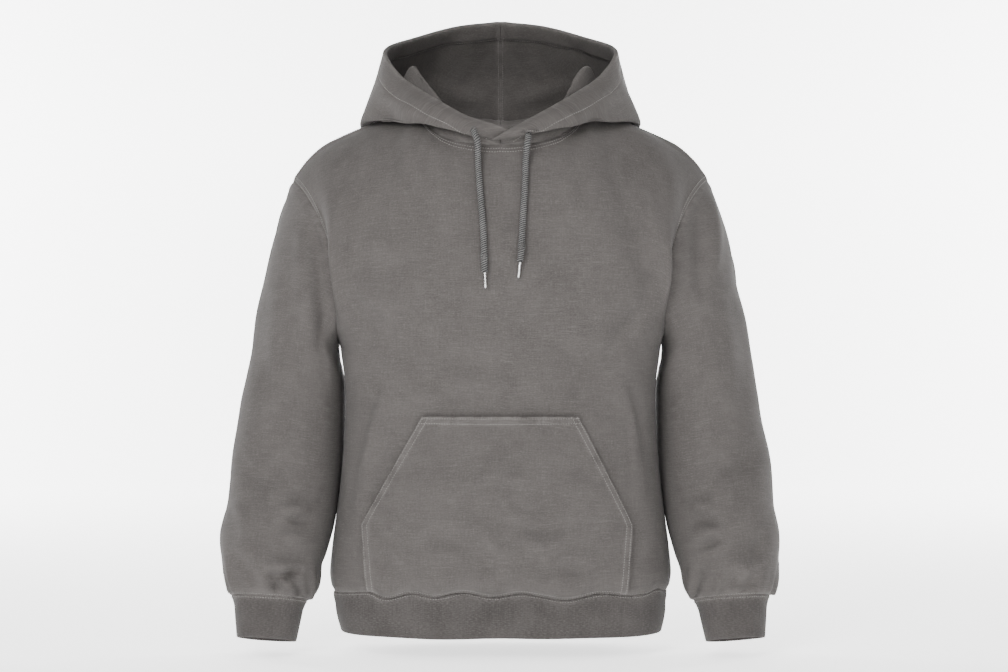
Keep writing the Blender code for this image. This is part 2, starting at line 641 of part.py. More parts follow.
def drawcord(side_name, points, front, cord_material, tip_material):
    """One free cord end with its knot and metal tip."""
    route = cord_route(points, front)
    cord(f"drawcord_{side_name}", route, CORD_RADIUS, cord_material)
    total = np.linalg.norm(np.diff(route, axis=0), axis=1).sum()
    share = 1 - KNOT_ABOVE_END / total
    at = along(route, share)
    axis = along(route, share - 0.01) - along(route, share + 0.01)
    hole, half = CORD_RADIUS + KNOT_CLEARANCE, KNOT_LENGTH / 2
    knot = [(hole, half), (KNOT_RADIUS * 0.82, half * 0.8), (KNOT_RADIUS, 0),
            (KNOT_RADIUS * 0.82, -half * 0.8), (hole, -half)]
    turned(f"knot_{side_name}", knot, 12, at, axis, cord_material)
    end = route[-1]
    down = (route[-1] - route[-2]) / np.linalg.norm(route[-1] - route[-2])
    pin = [(0, 0), (TIP_RADIUS, 0), (TIP_RADIUS, -TIP_LENGTH), (0, -TIP_LENGTH)]
    turned(f"tip_{side_name}", pin, 10, end + down * TIP_GAP, -down, tip_material)


# ---------------------------------------------------------------- the garment
def main():
    """Makes every solid of the garment."""
    for obj in list(bpy.data.objects):
        bpy.data.objects.remove(obj, do_unlink=True)
    bpy.context.scene.collection.children.link(bpy.data.collections.new("hoodie"))
    cloth = finish_material("washed fleece", CLOTH_COLOUR, 0.92)
    rib = finish_material("rib knit", RIB_COLOUR, 0.92)
    tape = finish_material("neck tape", TAPE_COLOUR, 0.90)
    braid = finish_material("braided cord", CORD_COLOUR, 0.80)
    tip = finish_material("bright metal", TIP_COLOUR, 0.25, 1.0)

    front, back = panel_grid(+1), panel_grid(-1)
    sewn = [
        Panel("front_panel", front, CLOTH, cloth),
        Panel("back_panel", back, CLOTH, cloth, flip=True),
        Panel("waistband", ring_grid(WAISTBAND, [row.z for row in WAISTBAND[::-1]]), RIB, rib, around=True),
    ]
    for side, name in ((-1, "right"), (1, "left")):
        sewn.append(Panel(f"sleeve_{name}", sleeve_grid(side), CLOTH, cloth, around=True, flip=side < 0))
        sewn.append(Panel(f"cuff_{name}", cuff_grid(side), RIB, rib, around=True, flip=side < 0))
        sewn.append(Panel(f"hood_{name}", hood_grid(side), CLOTH, cloth, flip=side < 0))
    share_normals(sewn[:2])
    share_normals(sewn)
    front_face = front.copy()
    for panel in sewn:
        panel.draw_back(ARMHOLE_GAP / 2 if panel.name.startswith("sleeve") else SEAM_GAP / 2)
        panel.build()

    Panel("pocket", pocket_grid(), CLOTH, cloth).build()
    lining = Panel("neck_tape", neck_tape_grid(back), TAPE, tape, flip=True)
    lining.grid = lining.grid - lining.normals * (CLOTH + TAPE_CLEARANCE)
    lining.build()
    drawcord("right", CORD_RIGHT, front_face, braid, tip)
    drawcord("left", CORD_LEFT, front_face, braid, tip)


main()
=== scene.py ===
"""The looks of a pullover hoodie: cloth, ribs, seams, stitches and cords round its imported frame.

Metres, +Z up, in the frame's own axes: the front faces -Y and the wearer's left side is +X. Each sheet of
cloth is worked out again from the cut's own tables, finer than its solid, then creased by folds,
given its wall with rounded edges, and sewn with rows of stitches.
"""

import logging
import math
from dataclasses import dataclass, field
from enum import Enum
from typing import NamedTuple, Sequence

import bpy
import numpy as np
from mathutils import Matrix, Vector


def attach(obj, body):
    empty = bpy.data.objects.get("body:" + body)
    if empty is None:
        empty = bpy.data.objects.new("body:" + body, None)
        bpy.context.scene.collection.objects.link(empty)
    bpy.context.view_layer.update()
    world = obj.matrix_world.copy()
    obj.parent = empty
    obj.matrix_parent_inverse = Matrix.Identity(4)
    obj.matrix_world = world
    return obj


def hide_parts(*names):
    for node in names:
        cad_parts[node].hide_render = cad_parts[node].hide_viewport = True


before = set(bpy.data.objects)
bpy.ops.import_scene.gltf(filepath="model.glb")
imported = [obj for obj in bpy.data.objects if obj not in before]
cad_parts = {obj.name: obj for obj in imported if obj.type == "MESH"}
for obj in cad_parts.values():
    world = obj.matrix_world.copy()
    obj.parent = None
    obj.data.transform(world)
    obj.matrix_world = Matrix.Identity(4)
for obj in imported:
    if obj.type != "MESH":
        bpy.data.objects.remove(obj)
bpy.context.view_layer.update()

LOG = logging.getLogger("hoodie")
Array = np.ndarray

# ---------------------------------------------------------------- sizes shared by the pieces
CLOTH = 0.0022
UNDERARM_Z = -0.312
WAIST_SEAM_Z = -0.645
NECK_STEPS = 6.0        # columns from the centre front to the high point of the shoulder
SIDE_STEPS = 10.0       # columns from the centre to the side seam
ARMHOLE_STEPS = 9.0     # rows from the underarm to the shoulder tip
TORSO_STEPS = 7.0       # rows from the waist seam to the underarm
SHOULDER_ANGLE = 82.0   # the hood's direction at the high point of the shoulder
FRONT_SQUARENESS = 2.8  # exponents of the superellipses: 2 is an ellipse, more is squarer
BACK_SQUARENESS = 2.35
SLEEVE_SQUARENESS = 2.15
BAND_WALL = 0.0034
CUFF_WALL = 0.0030
FOLD_POINTS = 13        # points along each fold's line
PANEL_EASINGS = 70      # how often each sheet's grid is smoothed
SLEEVE_EASINGS = 6
HOOD_EASINGS = 5
BODY = "root"


class Ring(NamedTuple):
    """A level section of the body: its height, half width, and depth of front and back."""

    z: float
    half_width: float
    front: float
    back: float


class Section(NamedTuple):
    """A section of a sleeve or cuff: outer and inner edge, half depth, how far back it sits, and its lean."""

    outer_x: float
    outer_z: float
    inner_x: float
    inner_z: float
    half_depth: float
    centre_y: float
    lean: float


class HoodSection(NamedTuple):
    """The hood in one direction round the neck, from its neck seam over the roll and the fold to its lip."""

    angle: float
    neck: tuple[float, float, float]
    roll: tuple[float, float, float]
    crease: tuple[float, float, float]
    wing: tuple[float, float, float]
    low_wall: tuple[float, float, float]
    high_wall: tuple[float, float, float]
    lip: tuple[float, float, float]


TORSO = (
    Ring(-0.645, 0.2195, 0.107, 0.098), Ring(-0.632, 0.2255, 0.114, 0.105), Ring(-0.600, 0.2240, 0.116, 0.107),
    Ring(-0.545, 0.2165, 0.116, 0.107), Ring(-0.490, 0.2095, 0.116, 0.107), Ring(-0.430, 0.2040, 0.117, 0.108),
    Ring(-0.385, 0.2015, 0.118, 0.109), Ring(-0.345, 0.2045, 0.119, 0.110), Ring(-0.312, 0.2150, 0.120, 0.111),
)
TORSO_SPACING = (0.0, 0.045, 0.16, 0.33, 0.50, 0.67, 0.84, 1.0)
WAISTBAND = (
    Ring(-0.697, 0.2120, 0.103, 0.094), Ring(-0.675, 0.2155, 0.106, 0.097),
    Ring(-0.653, 0.2175, 0.106, 0.097), Ring(-0.645, 0.2195, 0.107, 0.098),
)
SHOULDER = (
    (0.118, -0.004, -0.008), (0.160, -0.001, -0.023), (0.206, 0.002, -0.041),
    (0.238, 0.004, -0.057), (0.261, 0.004, -0.079), (0.277, 0.004, -0.104),
)
SHOULDER_TIP = SHOULDER[-1]
UNDERARM = (0.215, 0.0, UNDERARM_Z)
SLEEVE = (
    Section(0.2770, -0.104, 0.2150, -0.312, 0.078, 0.004, 0.0),
    Section(0.2950, -0.150, 0.2215, -0.343, 0.080, 0.016, 0.0),
    Section(0.3110, -0.210, 0.2160, -0.372, 0.078, 0.021, 0.0),
    Section(0.3255, -0.280, 0.2130, -0.402, 0.075, 0.025, 0.0),
    Section(0.3385, -0.350, 0.2120, -0.437, 0.073, 0.022, 0.0),
    Section(0.3495, -0.420, 0.2125, -0.478, 0.071, 0.014, 0.03),
    Section(0.3590, -0.490, 0.2155, -0.520, 0.070, 0.002, 0.07),
    Section(0.3650, -0.546, 0.2210, -0.560, 0.068, -0.012, 0.11),
    Section(0.3680, -0.589, 0.2300, -0.597, 0.065, -0.024, 0.15),
    Section(0.3640, -0.620, 0.2380, -0.626, 0.059, -0.032, 0.18),
    Section(0.3585, -0.640, 0.2457, -0.645, 0.053, -0.037, 0.20),
    Section(0.3530, -0.650, 0.2525, -0.656, 0.046, -0.039, 0.20),
)
CUFF = (
    Section(0.3530, -0.650, 0.2525, -0.656, 0.046, -0.039, 0.20),
    Section(0.3473, -0.658, 0.2590, -0.663, 0.042, -0.041, 0.20),
    Section(0.3450, -0.679, 0.2635, -0.684, 0.040, -0.046, 0.20),
    Section(0.3440, -0.702, 0.2670, -0.707, 0.039, -0.051, 0.20),
)
HOOD = (
    HoodSection(0, (0, -0.0960, -0.0640), (0, -0.0978, -0.0620), (0, -0.0995, -0.0602),
                (0, -0.1010, -0.0584), (0, -0.1030, -0.0566), (0, -0.1045, -0.0548), (0, -0.1060, -0.0530)),
    HoodSection(14, (0.0320, -0.0930, -0.0620), (0.0330, -0.0940, -0.0520), (0.0350, -0.0980, -0.0500),
                (0.0380, -0.1080, -0.0520), (0.0370, -0.1092, -0.0455), (0.0350, -0.1082, -0.0395),
                (0.0314, -0.1040, -0.0350)),
    HoodSection(28, (0.0620, -0.0840, -0.0560), (0.0640, -0.0800, -0.0260), (0.0650, -0.0850, -0.0360),
                (0.0660, -0.1050, -0.0460), (0.0685, -0.1036, -0.0340), (0.0690, -0.0996, -0.0235),
                (0.0657, -0.0920, -0.0150)),
    HoodSection(44, (0.0900, -0.0660, -0.0440), (0.0860, -0.0560, 0.0040), (0.0920, -0.0660, -0.0240),
                (0.1050, -0.0860, -0.0350), (0.1035, -0.0856, -0.0200), (0.0990, -0.0830, -0.0070),
                (0.0924, -0.0750, 0.0020)),
    HoodSection(62, (0.1100, -0.0360, -0.0220), (0.1120, -0.0260, 0.0430), (0.1200, -0.0360, -0.0020),
                (0.1460, -0.0540, -0.0300), (0.1440, -0.0535, -0.0080), (0.1370, -0.0520, 0.0140),
                (0.1275, -0.0450, 0.0275)),
    HoodSection(82, (0.1180, -0.0040, -0.0080), (0.1240, 0.0020, 0.0300), (0.1380, -0.0020, 0.0040),
                (0.1850, -0.0040, -0.0265), (0.1765, -0.0060, -0.0030), (0.1605, -0.0080, 0.0350),
                (0.1535, -0.0060, 0.0600)),
    HoodSection(104, (0.1120, 0.0280, -0.0080), (0.1210, 0.0340, 0.0080), (0.1400, 0.0480, -0.0160),
                (0.1780, 0.0640, -0.0460), (0.1790, 0.0620, -0.0180), (0.1640, 0.0460, 0.0430),
                (0.1530, 0.0300, 0.0780)),
    HoodSection(130, (0.0840, 0.0560, -0.0160), (0.0920, 0.0680, -0.0040), (0.1180, 0.1080, -0.0500),
                (0.1400, 0.1300, -0.1020), (0.1540, 0.1440, -0.0450), (0.1400, 0.1180, 0.0480),
                (0.1180, 0.0800, 0.0980)),
    HoodSection(155, (0.0440, 0.0730, -0.0230), (0.0480, 0.0860, -0.0130), (0.0660, 0.1280, -0.0700),
                (0.0780, 0.1580, -0.1400), (0.0920, 0.1880, -0.0780), (0.0840, 0.1690, 0.0500),
                (0.0620, 0.1130, 0.1180)),
    HoodSection(180, (0, 0.0780, -0.0260), (0, 0.0920, -0.0160), (0, 0.1340, -0.0780),
                (0, 0.1660, -0.1520), (0, 0.2040, -0.0880), (0, 0.1880, 0.0500), (0, 0.1250, 0.1265)),
)
# How far the chest swells beside each armhole, by height.
CHEST_FOLD = (
    (-0.292, 0.0), (-0.278, 0.0020), (-0.245, 0.0125), (-0.190, 0.0160), (-0.140, 0.0080), (-0.105, 0.0),
)


# ---------------------------------------------------------------- curves and grids
def through(stops: Sequence[float], values: Array, at: Array) -> Array:
    """Reads a smooth curve.

    Args:
        stops: Rising places of the known values.
        values: A number or a row of numbers at each stop.
        at: The places to read.

    Returns:
        The value at each place.
    """
    stops, values = np.asarray(stops, float), np.asarray(values, float)
    at = np.atleast_1d(np.asarray(at, float))
    slopes = np.gradient(values, stops, axis=0)
    i = np.clip(np.searchsorted(stops, at, side="right") - 1, 0, len(stops) - 2)
    width = stops[i + 1] - stops[i]
    t = (at - stops[i]) / width
    if values.ndim > 1:
        width, t = width[:, None], t[:, None]
    return (
        (2 * t**3 - 3 * t**2 + 1) * values[i] + (t**3 - 2 * t**2 + t) * width * slopes[i]
        + (3 * t**2 - 2 * t**3) * values[i + 1] + (t**3 - t**2) * width * slopes[i + 1]
    )


def along(points: Array, shares: Array) -> Array:
    """Reads a smooth curve through points.

    Args:
        points: The points that it passes through.
        shares: Places as shares of its length.

    Returns:
        A point for each share.
    """
    points = np.asarray(points, float)
    steps = np.linalg.norm(np.diff(points, axis=0), axis=1)
    stops = np.concatenate([[0.0], np.cumsum(np.maximum(steps, 1e-6))])
    return through(stops, points, np.atleast_1d(shares) * stops[-1])


def eased(share: Array) -> Array:
    """A share from 0 to 1 with a soft start and end."""
    share = np.clip(share, 0.0, 1.0)
    return share * share * (3.0 - 2.0 * share)


def power(value: Array, exponent: float) -> Array:
    """A signed power, for superellipses."""
    return np.sign(value) * np.abs(value) ** exponent


def unit(vectors: Array) -> Array:
    """Vectors made one long."""
    return vectors / np.maximum(np.linalg.norm(vectors, axis=-1, keepdims=True), 1e-12)


def relaxed(grid: Array, times: int, around: bool = False) -> Array:
    """Smooths the inside of a grid and keeps its edges.

    Args:
        grid: Rows of points.
        times: How often each point moves halfway to its neighbours' middle.
        around: Whether the rows are closed.

    Returns:
        The smoothed grid.
    """
    grid = grid.copy()
    for _ in range(times):
        if around:
            beside = (np.roll(grid, 1, 1) + np.roll(grid, -1, 1))[1:-1]
            grid[1:-1] = 0.5 * grid[1:-1] + 0.125 * (grid[2:] + grid[:-2] + beside)
        else:
            middle = grid[2:, 1:-1] + grid[:-2, 1:-1] + grid[1:-1, 2:] + grid[1:-1, :-2]
            grid[1:-1, 1:-1] = 0.5 * grid[1:-1, 1:-1] + 0.125 * middle
    return grid


def run_lengths(grid: Array, axis: int) -> Array:
    """Distance of each point from the grid's first line, measured on the surface along an axis."""
    steps = np.linalg.norm(np.diff(grid, axis=axis), axis=2)
    start = np.zeros_like(steps[:1]) if axis == 0 else np.zeros_like(steps[:, :1])
    return np.cumsum(np.concatenate([start, steps], axis=axis), axis=axis)


def ripple(place: Array, waves: Sequence[tuple[float, float, float]]) -> Array:
    """Sums gentle waves.

    Args:
        place: Distances in metres.
        waves: Length, height and start of each wave.

    Returns:
        The height at each place.
    """
    return sum(height * np.sin(2 * math.pi * place / length + start) for length, height, start in waves)


# ---------------------------------------------------------------- the body's shape
def ring_points(table: Sequence[Ring], angles: Array, heights: Array) -> Array:
    """Points of a level section of the body.

    Args:
        table: The sections, rising.
        angles: 0 is the centre front, +90 degrees in radians the left side, 180 the back.
        heights: The height of each point.

    Returns:
        A point for each angle and height.
    """
    stops = [row.z for row in table]
    front = np.abs(angles) <= math.pi / 2 + 1e-9
    squareness = np.where(front, FRONT_SQUARENESS, BACK_SQUARENESS)
    half_width, front_depth, back_depth = (
        through(stops, [row[i] for row in table], heights) for i in (1, 2, 3))
    depth = np.where(front, front_depth, back_depth)
    x = half_width * np.sign(np.sin(angles)) * np.abs(np.sin(angles)) ** (2 / squareness)
    y = -depth * np.sign(np.cos(angles)) * np.abs(np.cos(angles)) ** (2 / squareness)
    return np.stack([x, y, heights * np.ones_like(x)], axis=-1)


def neck_points(angles: Array) -> Array:
    """Points of the neck seam at angles in degrees, of either sign."""
    points = through([row.angle for row in HOOD], [row.neck for row in HOOD], np.abs(angles))
    level = np.ones(len(points))
    return points * np.stack([np.where(np.asarray(angles) < 0, -1, 1), level, level], 1)


def armhole_points(turn: Array, side: int) -> Array:
    """Points of the armhole seam, by turn in radians: 0 the shoulder tip, pi/2 the front, pi the underarm."""
    outer, inner = np.array(SHOULDER_TIP), np.array(UNDERARM)
    turn = np.atleast_1d(turn)
    points = (outer + inner) / 2 + np.cos(turn)[:, None] * (outer - inner) / 2
    bow = np.where(np.sin(turn) > 0, 0.030, 0.018)
    points[:, 0] -= bow * np.abs(np.sin(turn)) ** np.where(np.cos(turn) > 0, 1.3, 2.4)
    points[:, 1] -= 0.078 * np.sin(turn)
    return points * (side, 1, 1)


def top_point(step: float, facing: int) -> Array:
    """The point on a panel's top edge at a column: facing is +1 in front, -1 behind."""
    side, count = (1 if step >= 0 else -1), abs(step)
    if count <= NECK_STEPS:
        share = count / NECK_STEPS
        angle = SHOULDER_ANGLE * share if facing > 0 else 180.0 - (180.0 - SHOULDER_ANGLE) * share
        return neck_points(np.array([side * angle]))[0]
    return along(SHOULDER, (count - NECK_STEPS) / (SIDE_STEPS - NECK_STEPS))[0] * (side, 1, 1)


def yoke_column(step: float, rises: Array, facing: int) -> Array:
    """A panel's column above the underarm: it leaves the chest upright and arrives at the top edge."""
    side, share = (1 if step >= 0 else -1), abs(step) / SIDE_STEPS
    angle = math.pi / 2 * share if facing > 0 else math.pi - math.pi / 2 * share
    low = ring_points(TORSO, np.array([side * angle]), np.array([UNDERARM_Z]))[0]
    top = top_point(step, facing)
    over = float(eased(abs(step) / NECK_STEPS))
    reach = (0.058 + 0.022 * over) if facing > 0 else (0.050 + 0.030 * over)
    arrive = np.array([0.0, -facing * (0.30 + 0.65 * over), -0.95 + 0.65 * over])
    first = low + (0, -facing * 0.004, 0.52 * (top[2] - low[2]))
    second = top + reach * arrive
    t = ((1 - np.cos(math.pi * rises / ARMHOLE_STEPS)) / 2)[:, None]
    return (1 - t) ** 3 * low + 3 * t * (1 - t) ** 2 * first + 3 * t**2 * (1 - t) * second + t**3 * top


def panel_grid(facing: int, columns: int, rows: int) -> Array:
    """The outer face of the front (facing +1) or back (facing -1), from the waist seam up.

    Args:
        facing: Which panel.
        columns: Points across.
        rows: Points up.

    Returns:
        Rows of points, each from the wearer's right to the left.
    """
    ups = np.linspace(0, TORSO_STEPS + ARMHOLE_STEPS, rows)
    low, rises = ups[ups <= TORSO_STEPS], ups[ups > TORSO_STEPS] - TORSO_STEPS
    spacing = np.interp(low, np.arange(len(TORSO_SPACING)), TORSO_SPACING)
    heights = WAIST_SEAM_Z + (UNDERARM_Z - WAIST_SEAM_Z) * spacing
    sides = {side: yoke_column(side * SIDE_STEPS, rises, facing) for side in (-1, 1)}
    lines = []
    for step in np.linspace(-SIDE_STEPS, SIDE_STEPS, columns):
        side, share = (1 if step >= 0 else -1), abs(step) / SIDE_STEPS
        angle = math.pi / 2 * share if facing > 0 else math.pi - math.pi / 2 * share
        lower = ring_points(TORSO, np.full(len(heights), side * angle), heights)
        turn = facing * math.pi * (1 - rises / ARMHOLE_STEPS)
        upper = yoke_column(step, rises, facing)
        upper += (armhole_points(turn, side) - sides[side]) * (share**4, share**2, share**4)
        line = np.concatenate([lower, upper])
        if facing > 0 and share < 1:
            z = line[:, 2]
            inside = (z > CHEST_FOLD[0][0]) & (z < CHEST_FOLD[-1][0])
            reach = through([row[0] for row in CHEST_FOLD], [row[1] for row in CHEST_FOLD], z) * inside
            reach = reach * math.exp(-(((share - 0.88) / 0.14) ** 2))
            line += reach[:, None] * np.array([side, -1, 0])
        lines.append(line)
    return np.stack(lines, axis=1)


def tube_grid(table: Sequence[Section], side: int, columns: int, rows: int) -> Array:
    """The outer face of a sleeve or cuff, from its upper seam down, with columns all round it."""
    shares, turns = np.linspace(0, 1, rows), 2 * math.pi * np.arange(columns) / columns
    across, forward = (power(f(turns), 2 / SLEEVE_SQUARENESS) for f in (np.cos, np.sin))
    lines = []
    for values in through(np.linspace(0, 1, len(table)), table, shares):
        row = Section(*values)
        outer = np.array([row.outer_x, row.centre_y, row.outer_z])
        inner = np.array([row.inner_x, row.centre_y, row.inner_z])
        line = (outer + inner) / 2 + across[:, None] * (outer - inner) / 2
        line = line + forward[:, None] * row.half_depth * np.array([0, -1, row.lean])
        lines.append(line * (side, 1, 1))
    return np.array(lines)


def sleeve_grid(side: int, columns: int, rows: int) -> Array:
    """A sleeve, which leaves the armhole on its bowed seam and settles into plain sections."""
    grid = tube_grid(SLEEVE, side, columns, rows)
    turns = 2 * math.pi * np.arange(columns) / columns
    turns = np.where(turns > math.pi, turns - 2 * math.pi, turns)
    settle = (1 - np.minimum(np.linspace(0, 1, rows) / 0.22, 1.0)) ** 2
    return grid + (armhole_points(turns, side) - grid[0])[None] * settle[:, None, None]


def hood_grid(side: int, columns: int, rows: int) -> Array:
    """One half of the hood, rows from the neck seam to the lip, columns from the centre front to the back."""
    stops = [row.angle for row in HOOD]
    names = HoodSection._fields[1:]
    shares = np.linspace(0, 1, rows)
    lines = []
    for angle in 180.0 * np.linspace(0, 1, columns):
        marks = [through(stops, [getattr(row, name) for row in HOOD], [angle])[0] for name in names]
        line = along(marks, shares) * (side, 1, 1)
        near = float(eased(1 - angle / 22.0))
        cross = eased((shares - 0.45) / 0.55) * near
        apart = 0.0008 * eased(shares / 0.06) * near * (1 - cross)
        zero = np.zeros_like(shares)
        if side > 0:
            lift = eased(shares / 0.30) * near
            line += np.stack([apart - 0.010 * cross, -0.0034 * lift, -0.006 * cross], axis=1)
        else:
            line += np.stack([0.010 * cross - apart, zero, 0.006 * cross], axis=1)
        lines.append(line)
    return np.stack(lines, axis=1)


def front_y(x: Array, z: Array) -> Array:
    """How far forward the lower front lies at a place."""
    stops = [row.z for row in TORSO]
    half_width, depth = (through(stops, [row[i] for row in TORSO], z) for i in (1, 2))
    out = np.minimum(np.abs(x) / half_width, 0.999) ** FRONT_SQUARENESS
    return -depth * (1 - out) ** (1 / FRONT_SQUARENESS)


# ---------------------------------------------------------------- folds
class Face(Enum):
    """The side of the garment that a fold is on, by the way the cloth faces there."""

    FRONT = (0, -1)
    BACK = (0, 1)
    LEFT = (1, 0)
    RIGHT = (-1, 0)


DEPTHS = {Face.FRONT: 2.1, Face.BACK: 1.6, Face.LEFT: 0.25, Face.RIGHT: 0.25}


class Fold(NamedTuple):
    """A fold: its line across one side, in metres, its width, its height (a trough's is below zero), and how
    much steeper it is on its line's right."""

    face: Face
    width: float
    height: float
    lean: float
    line: tuple[tuple[float, float], ...]


def fold_heights(grid: Array, normals: Array, folds: Sequence[Fold]) -> Array:
    """How far folds lift a sheet.

    Args:
        grid: The sheet's points.
        normals: Its outward directions.
        folds: The folds to lay on it.

    Returns:
        The height at each point, along its outward direction.
    """
    total = np.zeros(grid.shape[:2])
    for fold in folds:
        facing = normals[..., 0] * fold.face.value[0] + normals[..., 1] * fold.face.value[1]
        place = grid[..., 0] if fold.face in (Face.FRONT, Face.BACK) else grid[..., 1]
        height = grid[..., 2]
        line = along(np.array(fold.line), np.linspace(0, 1, FOLD_POINTS))
        best = np.full(place.shape, 1e9)
        where, right = np.zeros(place.shape), np.zeros(place.shape)
        for number, (a, b) in enumerate(zip(line, line[1:])):
            step = b - a
            u = ((place - a[0]) * step[0] + (height - a[1]) * step[1]) / max(step @ step, 1e-12)
            u = np.clip(u, 0, 1)
            dx, dz = place - a[0] - u * step[0], height - a[1] - u * step[1]
            gap = np.hypot(dx, dz)
            closer = gap < best
            best = np.where(closer, gap, best)
            where = np.where(closer, (number + u) / (len(line) - 1), where)
            right = np.where(closer, np.sign(dx * step[1] - dz * step[0]), right)
        body = np.sin(math.pi * np.clip(where, 0.0, 1.0)) ** 0.75
        width = fold.width * (0.55 + 0.45 * body) * np.where(right > 0, 1 - fold.lean, 1 + fold.lean)
        rise = fold.height * DEPTHS[fold.face] * body * np.exp(-((best / width) ** 2))
        total += rise * eased((facing - 0.05) / 0.5)
    return total


